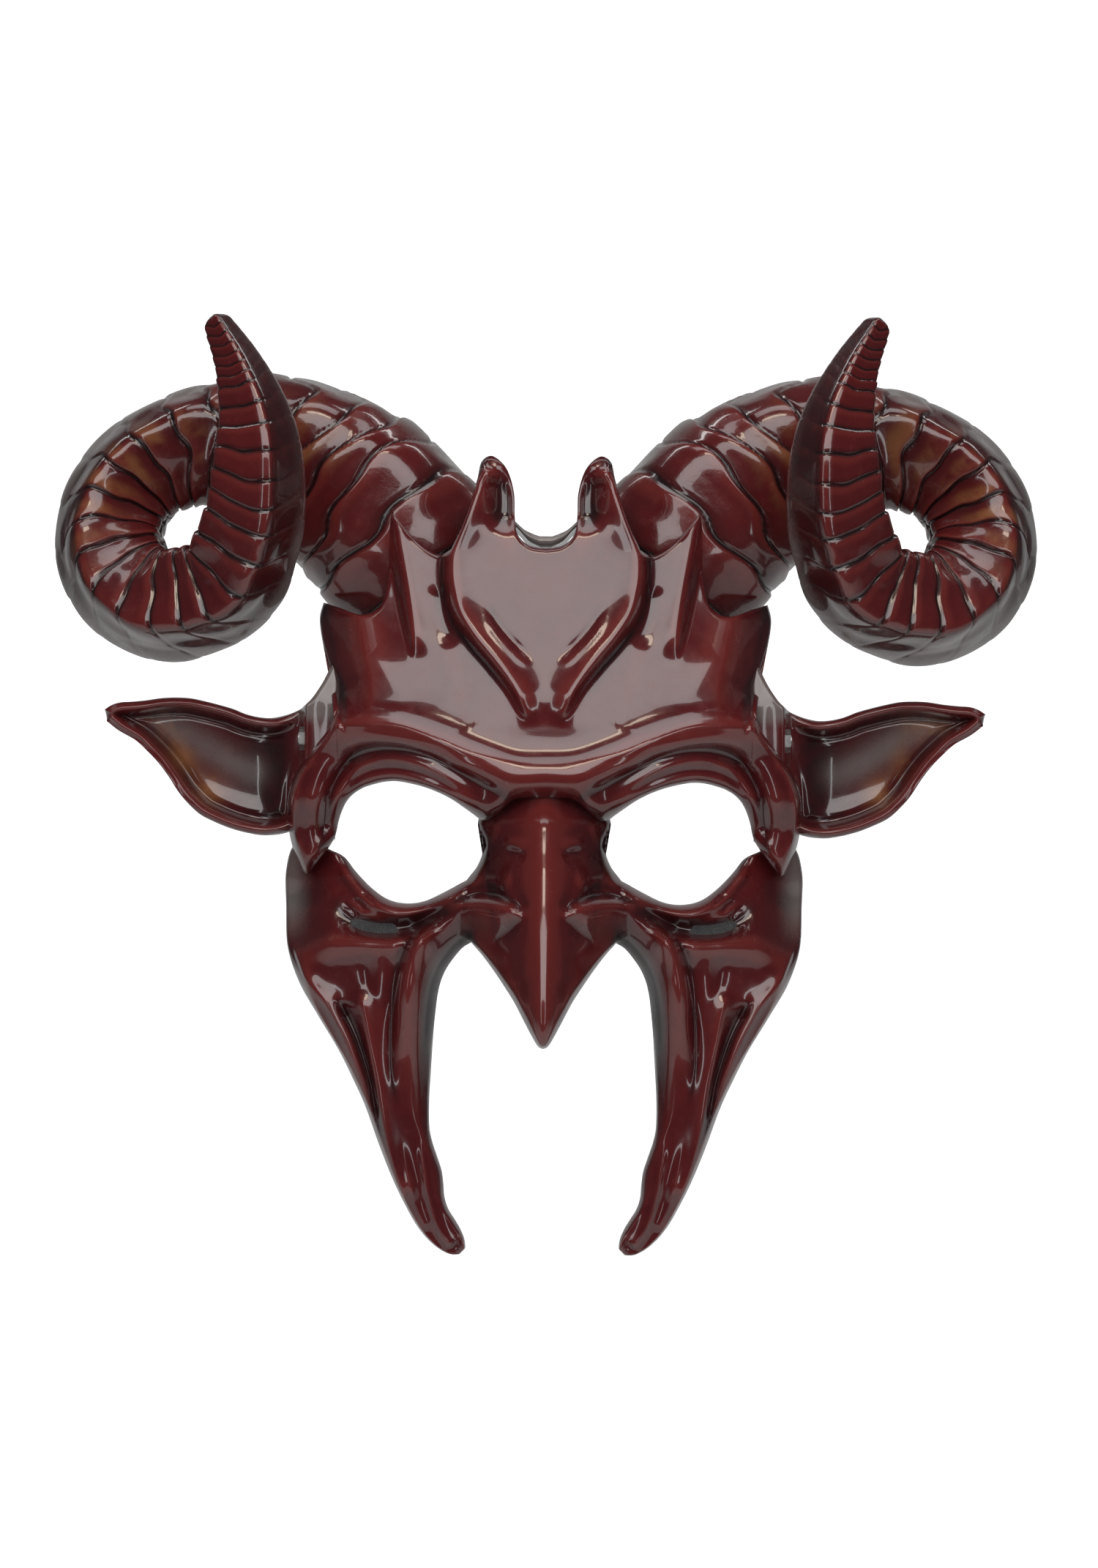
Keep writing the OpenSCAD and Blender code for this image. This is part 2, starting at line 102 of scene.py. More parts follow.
# Sum of all the folds in a list. A fold is its line, how far it stands proud (minus: a groove), its
# half-widths left and right of the line, the shares of the line over which it fades in and out, and the power
# of its fall
def folded(x, z, folds):
    return sum(ridge(x, z, line, *how) for line, *how in folds)


# Step of a given height across a line: 0 on its left, full on its right, over a width, fading at the ends
def step(x, z, points, height, width, fadeIn, fadeOut, reach):
    dist, side, along = lineField(x, z, points)
    across = ease(-width, width, -side * dist)
    ends = ease(0, fadeIn, along) * (1 - ease(1 - fadeOut, 1, along))
    return height * across * ends * (1 - ease(reach * 0.5, reach, dist))


# An edge turned back by a depth within a reach of its line: depth * (1 - distance / reach)^2
def turnedBack(dist, depth, reach):
    return depth * np.clip(1 - dist / reach, 0, 1) ** 2


# Sum of slow sine waves: a smooth repeatable unevenness between about -1 and 1
def unevenness(u, v, seed, scale):
    rng = np.random.default_rng(seed)
    total = np.zeros(np.broadcast(u, v).shape)
    for octave in range(3):
        for _ in range(4):
            angle = rng.uniform(0, 2 * math.pi)
            turn = rng.uniform(0, 2 * math.pi)
            freq = scale * 2**octave * rng.uniform(0.7, 1.3)
            total += np.sin((u * math.cos(angle) + v * math.sin(angle)) * freq + turn) / 2**octave
    return total / 5


# Moving average over both ways of a grid
def blurred(g, reach):
    out = g.copy()
    for axis in (0, 1):
        n = min(reach, g.shape[axis] // 3)
        pad = [(0, 0), (0, 0)]
        pad[axis] = (n, n)
        q = np.pad(out, pad, mode="edge")
        c = np.cumsum(q, axis=axis)
        zero = np.zeros_like(np.take(c, [0], axis=axis))
        c = np.concatenate([zero, c], axis=axis)
        size = out.shape[axis]
        hi = np.take(c, np.arange(size) + 2 * n + 1, axis=axis)
        lo = np.take(c, np.arange(size), axis=axis)
        out = (hi - lo) / (2 * n + 1)
    return out


# A mesh from points in metres and its faces, with one named number per point for each entry of facts. It
# rides on the mask's only body in place of its CAD node
def makePiece(name, points, faces, material, slotName, node, facts):
    mesh = bpy.data.meshes.new(name)
    mesh.from_pydata(points.tolist(), [], faces)
    mesh.update()
    mesh.validate()
    for key, values in facts.items():
        layer = mesh.attributes.new(key, "FLOAT", "POINT")
        layer.data.foreach_set("value", np.asarray(values, np.float32).ravel())
    mesh.polygons.foreach_set("use_smooth", np.ones(len(mesh.polygons), bool))
    piece = bpy.data.objects.new(name, mesh)
    bpy.context.scene.collection.objects.link(piece)
    mesh.materials.append(material)
    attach(piece, "root")
    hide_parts(node)
    return piece


# Quads of an n by m grid of point numbers, corner by corner round each cell
def gridQuads(ids):
    a, b, c, d = ids[:-1, :-1], ids[:-1, 1:], ids[1:, 1:], ids[1:, :-1]
    return np.stack([d, c, b, a], -1).reshape(-1, 4)


# Triangles from a ring of point numbers to one pole
def fan(ring, pole):
    return [(int(i), int(j), pole) for i, j in zip(ring[:-1], ring[1:])]


# Two grids closed into one skin: they share the front grid's outline
def closedSheet(front, back):
    n, m = front.shape[:2]
    ids = np.arange(n * m).reshape(n, m)
    behind = ids.copy()
    behind[1:-1, 1:-1] = n * m + np.arange((n - 2) * (m - 2)).reshape(n - 2, m - 2)
    faces = np.vstack([gridQuads(ids), gridQuads(behind)[:, ::-1]])
    return np.vstack([front.reshape(-1, 3), back[1:-1, 1:-1].reshape(-1, 3)]), faces.tolist()


# A part of the right side carried to its own side: x times 1 or -1, and faces turned round when mirrored
def onSide(points, faces, sign):
    return points * np.array([sign, 1, 1]) * mm, faces if sign > 0 else [f[::-1] for f in faces]


# Distance from every x, z of a grid to the grid's own outline
def edgeDistance(x, z):
    ring = np.concatenate([
        np.stack([x[:, 0], z[:, 0]], 1), np.stack([x[-1, :], z[-1, :]], 1),
        np.stack([x[::-1, -1], z[::-1, -1]], 1), np.stack([x[0, ::-1], z[0, ::-1]], 1),
    ])
    best = np.full(x.shape, 1e9)
    for a, b in zip(ring[:-1], ring[1:]):
        d = b - a
        size = d @ d
        if size < 1e-9:
            continue
        k = np.clip(((x - a[0]) * d[0] + (z - a[1]) * d[1]) / size, 0, 1)
        best = np.minimum(best, np.hypot(x - a[0] - k * d[0], z - a[1] - k * d[1]))
    return best


# A moulded shell with a rounded edge: front at y and back a thickness behind it, both drawn in to the middle
# along a quarter circle within a lip of the outline
def shellSkin(x, y, z, edge, spec):
    half = spec["thick"] / 2
    swell = np.sqrt(1 - (1 - np.clip(edge / spec["lip"], 0, 1)) ** 2)
    front = np.stack([x, y + half - swell * half, z], -1)
    back = np.stack([x, y + half + swell * half, z], -1)
    return closedSheet(front, back)


# Values of a grid carried onto the points of closedSheet, with their own value behind
def shellValues(front, back):
    return np.concatenate([np.asarray(front).ravel(), np.broadcast_to(back, front.shape)[1:-1, 1:-1].ravel()])


# A half grid of columns in x > 0 made whole across the mirror plane
def mirrored(half, sign):
    return np.concatenate([sign * half[:0:-1], half])


# Columns straight from a low edge to a high edge, about a spacing apart: low + (high - low) * v
def spannedGrid(low, high, corners, spacing, rows, rowPower=1.0):
    lo, hi = np.array(low, float), np.array(high, float)
    reach = np.maximum(np.hypot(*np.diff(lo, axis=0).T), np.hypot(*np.diff(hi, axis=0).T))
    counts = np.maximum(2, np.ceil(reach / spacing)).astype(int)
    a = curveThrough(lo, counts, corners)
    b = curveThrough(hi, counts, corners)
    v = np.linspace(0, 1, rows) ** rowPower
    grid = a[:, None, :] + (b - a)[:, None, :] * v[None, :, None]
    return grid[..., 0], grid[..., 1], v


# An empty node group with its sockets; returns its tree and its two end nodes
def nodeGroup(name, inputs, outputs):
    tree = bpy.data.node_groups.new(name, "ShaderNodeTree")
    for label, kind, value in inputs:
        socket = tree.interface.new_socket(label, in_out="INPUT", socket_type=kind)
        socket.default_value = value
    for label, kind in outputs:
        tree.interface.new_socket(label, in_out="OUTPUT", socket_type=kind)
    return tree, tree.nodes.new("NodeGroupInput"), tree.nodes.new("NodeGroupOutput")


# One operation on two numbers or links
def mathNode(tree, operation, a, b=0.5, clamp=False):
    n = tree.nodes.new("ShaderNodeMath")
    n.operation = operation
    n.use_clamp = clamp
    for i, v in enumerate((a, b)):
        if isinstance(v, (int, float)):
            n.inputs[i].default_value = v
        else:
            tree.links.new(v, n.inputs[i])
    return n.outputs[0]


# Colour a * (1 - factor) + b * factor, each a value or a link
def mixNode(tree, factor, a, b):
    n = tree.nodes.new("ShaderNodeMix")
    n.data_type = "RGBA"
    for socket, v in ((n.inputs[0], factor), (n.inputs[6], a), (n.inputs[7], b)):
        if isinstance(v, (int, float, tuple)):
            socket.default_value = v
        else:
            tree.links.new(v, socket)
    return n.outputs[2]


# Layered noise between 0 and 1; scale is in lumps per metre
def noiseNode(tree, coordinates, scale, detail=4.0, rough=0.55, distort=0.0):
    n = tree.nodes.new("ShaderNodeTexNoise")
    n.inputs["Scale"].default_value = scale
    n.inputs["Detail"].default_value = detail
    n.inputs["Roughness"].default_value = rough
    n.inputs["Distortion"].default_value = distort
    tree.links.new(coordinates, n.inputs["Vector"])
    return n.outputs["Fac"]


# 0 below low, 1 above high, straight in between
def rangeNode(tree, value, low, high, outLow=0.0, outHigh=1.0):
    n = tree.nodes.new("ShaderNodeMapRange")
    for i, v in ((1, low), (2, high), (3, outLow), (4, outHigh)):
        n.inputs[i].default_value = v
    tree.links.new(value, n.inputs[0])
    return n.outputs[0]


# Noise and patterns sit still on the piece: they read its own coordinates
def ownPlace(tree):
    return tree.nodes.new("ShaderNodeTexCoord").outputs["Object"]


# Lacquer over a dark wash and painted shade, both pooling in recesses; smoke grey with painted sheen and
# painted gold glints go where told, and painted highlights lighten what stands proud
def makeLacquerGroup():
    colour = "NodeSocketColor"
    number = "NodeSocketFloat"
    tree, given, out = nodeGroup("agedLacquer_paintedLight", [
        ("Lacquer", colour, (0.1, 0.02, 0.015, 1)), ("Wash_and_shade_colour", colour, (0.01, 0.005, 0.006, 1)),
        ("Smoke_and_sheen_colour", colour, (0.1, 0.09, 0.085, 1)), ("Gold_glint", colour, (0.3, 0.12, 0.03, 1)),
        ("Recess", number, 0.0), ("Smoked", number, 0.0), ("Gilded", number, 0.0), ("Raised", number, 0.0),
    ], [("Color", colour), ("Roughness", number), ("Height", number)])
    place = ownPlace(tree)
    slow = noiseNode(tree, place, 38, 5, 0.6, 0.4)
    quick = noiseNode(tree, place, 260, 4, 0.6)
    grain = noiseNode(tree, place, 1400, 2, 0.5)
    given = given.outputs
    thick, thin, highlight_red = (0.08, 0.0095, 0.012, 1), (0.19, 0.028, 0.026, 1), (0.21, 0.033, 0.028, 1)
    deep = mixNode(tree, rangeNode(tree, slow, 0.35, 0.7), given["Lacquer"], thick)
    warm = mixNode(tree, rangeNode(tree, quick, 0.55, 0.8, 0, 0.35), deep, thin)
    # Painted highlight: what stands proud turns a lighter red
    proud = mixNode(tree, mathNode(tree, "MULTIPLY", given["Raised"], 0.5), warm, highlight_red)
    # Wash and painted shade: hollows are darkened towards the dark colour
    ragged = mathNode(tree, "MULTIPLY", given["Recess"], rangeNode(tree, quick, 0.25, 0.6, 0.75, 1.25))
    washed_and_shaded = mixNode(tree, mathNode(tree, "MINIMUM", ragged, 0.97), proud, given["Wash_and_shade_colour"])
    # Smoke grey and painted sheen, laid on in clouds
    cloudy = rangeNode(tree, slow, 0.3, 0.65, 0.7, 1.1)
    smoke_and_sheen_patches = mathNode(tree, "MULTIPLY", given["Smoked"], cloudy, True)
    smoked = mixNode(tree, smoke_and_sheen_patches, washed_and_shaded, given["Smoke_and_sheen_colour"])
    # Painted gold glints, in patches
    glint_patches = mathNode(tree, "MULTIPLY", given["Gilded"], rangeNode(tree, slow, 0.44, 0.56), True)
    gilded = mixNode(tree, glint_patches, smoked, given["Gold_glint"])
    tree.links.new(gilded, out.inputs["Color"])
    rough = mathNode(tree, "ADD", rangeNode(tree, quick, 0.3, 0.7, 0.16, 0.28),
                     mathNode(tree, "MULTIPLY", given["Smoked"], 0.16))
    tree.links.new(rough, out.inputs["Roughness"])
    height = mathNode(tree, "ADD", mathNode(tree, "MULTIPLY", slow, 0.5),
                      mathNode(tree, "ADD", mathNode(tree, "MULTIPLY", quick, 0.22),
                               mathNode(tree, "MULTIPLY", grain, 0.05)))
    tree.links.new(height, out.inputs["Height"])
    return tree


lacquerGroup = makeLacquerGroup()


# A new material with its node tree and shader
def newMaterial(name):
    material = bpy.data.materials.new(name)
    material.use_nodes = True
    tree = material.node_tree
    return material, tree, tree.nodes["Principled BSDF"]


# A named number painted on the mesh; it reads 0 on a mesh without it
def attributeNode(tree, name):
    n = tree.nodes.new("ShaderNodeAttribute")
    n.attribute_name = name
    return n.outputs["Fac"]


# Relief finer than the mesh: tilts the shader's normal by the slope of height
def addBump(tree, shader, height, strength, distance):
    bump = tree.nodes.new("ShaderNodeBump")
    bump.inputs["Strength"].default_value = strength
    bump.inputs["Distance"].default_value = distance
    tree.links.new(height, bump.inputs["Height"])
    tree.links.new(bump.outputs["Normal"], shader.inputs["Normal"])


# The aged lacquer with its painted light under a clear coat, which is left off where the wash and painted
# shade lie thickest
def lacquerMaterial(name, look):
    material, tree, shader = newMaterial(name)
    group = tree.nodes.new("ShaderNodeGroup")
    group.node_tree = lacquerGroup
    for label in ("Lacquer", "Wash_and_shade_colour", "Smoke_and_sheen_colour", "Gold_glint"):
        group.inputs[label].default_value = (*look[label.lower()], 1)
    for label in ("Recess", "Smoked", "Gilded", "Raised"):
        tree.links.new(attributeNode(tree, label.lower()), group.inputs[label])
    tree.links.new(group.outputs["Color"], shader.inputs["Base Color"])
    tree.links.new(group.outputs["Roughness"], shader.inputs["Roughness"])
    addBump(tree, shader, group.outputs["Height"], look["bump"], look["bumpDepth"])
    shader.inputs["Specular IOR Level"].default_value = look["specular"]
    coated = rangeNode(tree, attributeNode(tree, "recess"), 0.72, 0.95, look["coat"], 0.05)
    tree.links.new(coated, shader.inputs["Coat Weight"])
    shader.inputs["Coat Roughness"].default_value = look["coatRoughness"]
    return material


# The dark colour is wash and painted shade, the grey is smoke and painted sheen, and the gold is the colour
# of painted glints
shellLook = {
    "lacquer": (0.114, 0.0122, 0.0138), "wash_and_shade_colour": (0.012, 0.006, 0.007), "smoke_and_sheen_colour": (0.2, 0.18, 0.17),
    "gold_glint": (0.38, 0.16, 0.06), "bump": 0.25, "bumpDepth": 0.0006, "coat": 1.0, "coatRoughness": 0.05,
    "specular": 0.45,
}
hornLook = dict(shellLook, lacquer=(0.12, 0.013, 0.0138), bump=0.4, bumpDepth=0.0012)
shellMaterial = lacquerMaterial("oxblood_lacquer", shellLook)
hornMaterial = lacquerMaterial("horn_lacquer", hornLook)


# What crown and face share, in millimetres: wall, edge radius, how fast the mask bows back with x squared,
# and how far the brow and the nose stand out
maskSpec = {"thick": 2.6, "lip": 1.3, "bow": 0.0045, "browOut": 17.0, "noseOut": 24.0}
crownSpec = {
    "spacing": 0.88, "rows": 96, "rowPower": 1.25,
    "lean": 17.5, "leanFrom": 21, "leanOver": 68,  # leans back by this much over this height
    "low": [
        (0, 12.4), (3.5, 12.3), (6, 12.1), (8, 11.7), (9.3, 10.9), (10.4, 9.9), (11.4, 8.9), (12.4, 7.9),
        (13.4, 7), (14.6, 6.3), (15.8, 6), (17.2, 6.4), (18.8, 7.6), (21, 9.2), (24.5, 11.6), (28, 13.4),
        (31, 14.6), (33, 15.2), (35, 15.7), (37.5, 16.2), (40, 16.5), (43, 16.3), (46, 15.6), (48.5, 14.8),
        (50.5, 13.7), (52, 12.5), (53.3, 11), (54.4, 9), (55.2, 7), (55.8, 5), (56.2, 3), (56.8, 1),
        (58.2, -1.4), (60.2, -4), (62.2, -6.6), (64, -9),
    ],
    "high": [
        (0, 79.2), (4.5, 80), (7.6, 83), (8.4, 88), (8.6, 94), (10, 99.5), (12.2, 102.8), (15, 104.4),
        (17.6, 102.6), (18.6, 98), (20.5, 91), (23, 84), (25.4, 78.9), (28.5, 77.6), (33, 79.8), (38, 84.6),
        (41.6, 89.6), (42.6, 84), (42.4, 76), (43, 69), (44.6, 63.8), (49.5, 61.4), (56, 63.6), (60.6, 65.2),
        (61.6, 61), (60.8, 55), (58.8, 48), (56.8, 41), (55.8, 35.5), (58, 31), (62.5, 25.4), (67.2, 19.4),
        (69.7, 12.5), (69.9, 6), (69, 0), (66.4, -8),
    ],
    "corners": (12, 16, 23, 28),
}
bigRib = [(15.5, 102), (19, 95), (22.3, 86.5), (25.2, 78), (25.4, 70), (23.5, 62), (19, 55), (13.5, 48.5),
          (8.5, 42), (5.5, 36), (4.6, 31)]
innerCrease = [(16.4, 64.5), (12.7, 58.4), (7.5, 52.5), (2.8, 48.5)]
creaseLip = [(16.6, 61.6), (13, 56), (7.8, 50), (3.6, 46.4)]
pointCup = [(13.6, 101), (11.6, 95), (11.2, 88), (12.6, 82)]
secondRib = [(41.4, 88.5), (40.6, 81), (39, 72), (37.2, 63), (35.4, 55), (34.4, 48)]
browLine = [(0, 18.6), (9, 18.4), (19, 21.4), (30, 26), (42, 28.5), (54, 28), (61, 20), (64, 8), (63, -3)]
browCrest = [(0, 22), (10, 22.2), (20, 24.2), (28.5, 27.7), (38, 31.2), (47, 32), (55, 31.6)]
orbitCrest = [(54, 31.8), (57.6, 30), (60.9, 27), (65.6, 20), (67.9, 13), (67.9, 6), (66.8, 0), (65, -6)]
underBrow = [(9.8, 12.2), (16, 15.5), (23.7, 19.4), (30, 22.6), (37, 24.7), (45, 25.2), (50.5, 23.6),
             (55, 19),
             (58, 12), (59.2, 5), (60, -1)]
lidFold = [(16, 11.8), (23.5, 16.4), (30, 20), (37, 22.3), (44, 22.6), (50, 20.4), (54.2, 16),
           (56.8, 10), (57.8, 4)]
lidGroove = [(20, 11.9), (25, 14.9), (31, 17.6), (38, 19.6), (45, 19.4), (50.5, 17), (54, 12.5)]
crownFolds = [
    (browLine, 4, 5, 5, 0, 0),
    ([(13, 3), (18, 5)], -6, 5.5, 5.5, 0, 0),
    # ribs, creases and cups of the crown
    (bigRib, 3.9, 1.5, 5.2, 0.03, 0.16, 1.5),
    (innerCrease, -0.7, 0.9, 1.3, 0.25, 0.35),
    (creaseLip, 0.5, 1.3, 1.1, 0.25, 0.35),
    (pointCup, -4.2, 4.6, 3.4, 0.25, 0.4),
    (secondRib, 2.3, 1.6, 3.4, 0.02, 0.25),
    ([(28.5, 70), (27.5, 60), (24, 52)], -1.4, 3, 3, 0.2, 0.3),
    # brow and lids
    (browCrest, 1.4, 3.6, 1.4, 0.35, 0.05, 1.6),
    (orbitCrest, 1.5, 1.4, 1.8, 0.05, 0.15),
    (underBrow, -2.6, 1.7, 4.6, 0.1, 0.1, 1.7),
    (lidFold, 1.5, 1.7, 1.5, 0.2, 0.2),
    (lidGroove, -0.7, 1.0, 1.0, 0.3, 0.2),
]


# Bow of the whole mask and the two places where both shells turn back: under the brow and at the temples
def bow(x):
    return maskSpec["bow"] * x * x


def browTurn(x, z):
    return 5 * ease(14, 2, z) * ease(14, 40, x)


def templeTurn(x, z):
    return 6 * ease(34, 22, z) * ease(30, 60, x)


# Depth of the crown's front: the bowed sheet leans back with height, carries its folds, steps back across
# both ribs, falls away to the side walls and turns back at its rims
def crownDepth(x, z, spec):
    x = np.sqrt(x * x + 2.0)  # keeps the middle smooth
    leaning = np.clip((z - spec["leanFrom"]) / spec["leanOver"], 0, 1.2)
    y = bow(x) - maskSpec["browOut"] + spec["lean"] * leaning + 1.5 * bell(z - spec["leanFrom"], 8)
    y += browTurn(x, z) + templeTurn(x, z) - folded(x, z, crownFolds)
    y += step(x, z, bigRib[::-1], 1.6, 1.6, 0.5, 0.02, 26)
    y += step(x, z, secondRib[::-1], 3.4, 2.6, 0.6, 0.02, 30)
    sideWall = np.clip((x - 46.5 - 4 * ease(38, 62, z)) / 11, 0, 1.2)
    y += 12 * sideWall**1.25 * ease(31, 44, z)
    rim = lineField(x, z, spec["low"], 3)[0]
    y += turnedBack(rim, 3.4, 3.2) * ease(8, 15, x) + turnedBack(rim, 2.6, 3.6) * ease(12, 7, x)
    lobe = lineField(x, z, spec["high"][28:], 3)[0]
    return y + turnedBack(lobe, 7, 2.6) * ease(34, 28, z) * ease(55, 59, x)


# How hollow (+) or proud (-) each point of a depth grid is: depth less its own moving average
def relief(y, reach):
    return y - blurred(blurred(y, reach), reach)


# Wash and painted shade darken hollows and lines, and a painted highlight lightens what stands proud
def paintByRelief(y, gain):
    hollow = relief(y, 5)
    return np.clip(hollow * gain - 0.3, 0, 0.75), np.clip(-hollow * 1.6 - 0.1, 0, 1)


def makeCrown(spec, material):
    edges = spec["low"], spec["high"]
    halfX, halfZ, _ = spannedGrid(*edges, spec["corners"], spec["spacing"], spec["rows"], spec["rowPower"])
    x, z = mirrored(halfX, -1), mirrored(halfZ, 1)
    y = crownDepth(x, z, spec) + 0.12 * unevenness(x, z, 11, 0.16)
    points, faces = shellSkin(x, y, z, edgeDistance(x, z), maskSpec)
    ax = np.abs(x)
    recess, raised = paintByRelief(y, 0.55)
    # Painted shade along the outer side of the big rib, under the brow and round the inner eye corners; the
    # back of the shell is darkened as well
    ribDist, ribSide, _ = lineField(ax, z, bigRib)
    alongRib = 0.8 * bell(ribDist - 2.4, 1.2) * ease(8, 16, ax) * ease(110, 90, z) * (ribSide > 0)
    underLid = 0.55 * bell(lineField(ax, z, underBrow)[0], 1.1)
    eyeCorner = 0.75 * bell(np.hypot(ax - 16, (z - 4) * 0.8), 5.0)
    for shade in (underLid, eyeCorner, alongRib):
        recess = np.maximum(recess, shade)
    facts = {"recess": shellValues(recess, 0.75), "raised": shellValues(raised, 0.0)}
    return makePiece("crown", points * mm, faces, material, "lacquer", "crown_shell", facts)


makeCrown(crownSpec, shellMaterial)
print("crown built", flush=True)


faceSpec = {
    "spacing": 1.02, "rows": 96,
    # nose: half-width at the top, how round its ridge is, and how its sides fall
    "noseHalf": 14.4, "ridgeRound": 12.0, "noseFall": 1.12,
    "outer": [
        (0, 14), (5, 13.9), (10, 12.2), (15.2, 9.8), (17.9, 5.6), (16.3, -0.6), (17.8, -5.8), (20.8, -9.9),
        (26.5, -13), (32, -15.6), (37, -16.3), (42, -15.3), (46.6, -12.3), (51, -8), (54.4, -4), (58, -2.2),
        (61.6, -0.8), (68, -0.8), (70.4, -8), (70.3, -19), (69.6, -29), (66.4, -38.5), (61.4, -47),
        (55.8, -56), (51.4, -64.6), (48, -72), (44.6, -81.5), (41.2, -90), (37.4, -98), (33.6, -104.6),
        (29.6, -109), (25.6, -111.3), (22.6, -111.2),
    ],
    "inner": [
        (0, -53.6), (1.6, -52.6), (4.6, -47.5), (7.6, -42), (10.4, -37.8), (13.4, -33.6), (16.4, -29.8),
        (19.4, -26.6), (21.8, -28.2), (24.2, -31), (26.2, -34), (27.6, -37.2), (28.5, -41), (29, -45),
        (29.4, -49), (29.7, -53), (29.9, -56.5), (30.1, -60), (30.3, -63.5), (30.5, -67), (30.6, -70.5),
        (30.6, -74), (30.4, -77.5), (29.6, -81), (28.4, -84.6), (27.2, -88.4), (26.7, -92), (26.4, -95.6),
        (25.4, -98.8), (23.8, -101.4), (22.2, -104), (21, -106.6), (20.6, -109),
    ],
    "corners": (7,),
}
wingCrest = [(5.6, -20.4), (9.8, -17.6), (16, -16.2), (21, -16.4), (26, -18.8), (30.6, -23.4),
             (34.2, -29.8), (36, -36.4), (36.6, -44), (36.2, -54), (35.4, -66)]
wingCrease = [(5.2, -18.6), (7.6, -15.4), (12.4, -13.4), (17.4, -13.6), (22, -14.6), (27, -17)]
lidRim = [(16.4, -8), (20.2, -12), (26, -15.2), (32.4, -18.2), (38, -19), (43, -17.8), (48, -14.6),
          (52.4, -10), (55.4, -5.6)]
bagGroove = [(22, -14.8), (27, -18.6), (32, -21.4), (38, -23), (45.7, -23.3), (53, -20.6), (58, -14)]
cheekTop = [(29, -24), (37, -26.6), (47, -26.8), (58, -27.6), (67.4, -31.4)]
outerCrest = [(66.8, -32), (62.6, -38.4), (58, -43.8), (54.2, -50.4), (51.2, -57), (47.8, -65),
              (44.6, -75.6), (41.2, -86)]
valley = [(57, -41), (53.4, -46), (50.6, -51.4), (48.2, -58), (46.2, -65), (44.6, -74), (42, -85)]
middleRidge = [(49.8, -38), (48, -45), (46.6, -54), (44.8, -64), (42.6, -76), (39.4, -88), (35.4, -98)]
innerLine = [(33.4, -22.6), (37.6, -29), (39.8, -38), (40.8, -50), (40.6, -62), (38.8, -72)]
tipRidge = [(33.4, -76), (32.4, -84), (30.6, -94.6), (28.2, -103), (24.2, -108.8)]
tipRidgeOuter = [(38, -78), (36.4, -88), (34, -97.6), (30.8, -104.4)]
faceFolds = [
    # beak, wings and the folds beside the nose
    (wingCrest, 6.6, 2.8, 5.6, 0.12, 0.3),
    (wingCrease, -2.2, 2.2, 1.6, 0.12, 0.3),
    ([(4.4, -3.6), (7.4, -2.4), (11.8, -2.2)], -1.0, 0.9, 1.9, 0.3, 0.35),
    ([(4.6, -1.2), (7.6, 0.2), (11.6, 0.4)], 0.9, 1.8, 1.2, 0.3, 0.35),
    ([(8.4, -5.5), (10.0, -11), (8.2, -15.6), (5.4, -20.4)], 1.6, 1.5, 1.5, 0.3, 0.2),
    ([(12.4, 6), (14, 1), (15.6, -4)], 1.0, 1.2, 1.2, 0.2, 0.2),
    ([(3.6, -34), (4.6, -42), (3.4, -49)], -0.7, 1.6, 1.6, 0.3, 0.3),
    # lower lid, bag and cheek
    (lidRim, 1.9, 1.5, 1.6),
    (bagGroove, -4.6, 2.8, 2.2, 0.25, 0.3),
    (cheekTop, 3.0, 2.2, 4.6, 0.15, 0.02, 1.7),
    # hanging strand
    (outerCrest, 2.8, 1.8, 3.4, 0.12, 0.2, 1.6),
    (valley, -3.4, 1.4, 2.0, 0.2, 0.2, 1.6),
    (middleRidge, 2.6, 1.8, 3.4, 0.15, 0.1, 1.5),
    (innerLine, -2.0, 1.3, 1.6, 0.15, 0.45, 1.5),
    ([(47.4, -28), (47.8, -34), (46, -42), (45, -50)], -0.6, 1.6, 2.6, 0.3, 0.5),
    ([(43.4, -29), (44, -36), (45.4, -44)], 0.6, 2.2, 2.2, 0.3, 0.4),
    (tipRidge, 2.0, 1.4, 1.8, 0.4, 0.05, 1.5),
    (tipRidgeOuter, 1.4, 1.2, 1.6, 0.45, 0.1, 1.5),
]
# three short wrinkles at the outer end of the bag
for k in range(3):
    low, high = (44.6 + 2.5 * k, -17.4 - 1.5 * k), (49.8 + 2.3 * k, -13.2 - 1.6 * k)
    middle = ((low[0] + high[0]) / 2, (low[1] + high[1]) / 2 + 0.5)
    faceFolds.append(([low, middle, high], -0.9, 0.6, 0.6, 0.3, 0.3))


# The face before its folds: the bowed sheet, a nose wedge that stands out more and more going down, and
# temples that turn back. The wedge is out * (1 - across / half-width)^fall
def faceSheet(x, z, across, half, fall, lift):
    out = maskSpec["noseOut"] * ease(26, -42, z) + 3 * ease(-30, -56, z)
    out += maskSpec["browOut"] - 7 - 3 * ease(4, 12, z)
    nose = np.clip(1 - across / (half + 5 * ease(0, -22, z)), 0, 1)
    y = bow(x) - 5 - 5 * ease(-10, -28, z) * ease(24, 40, x) + 8 * ease(-40, -112, z) - out * nose**fall
    y += templeTurn(x, z) * ease(-20, -6, z) + lift * ease(-8, 0, z)
    return y + 8 * ease(56, 69, x) * ease(-44, -26, z) * ease(-8, -18, z)


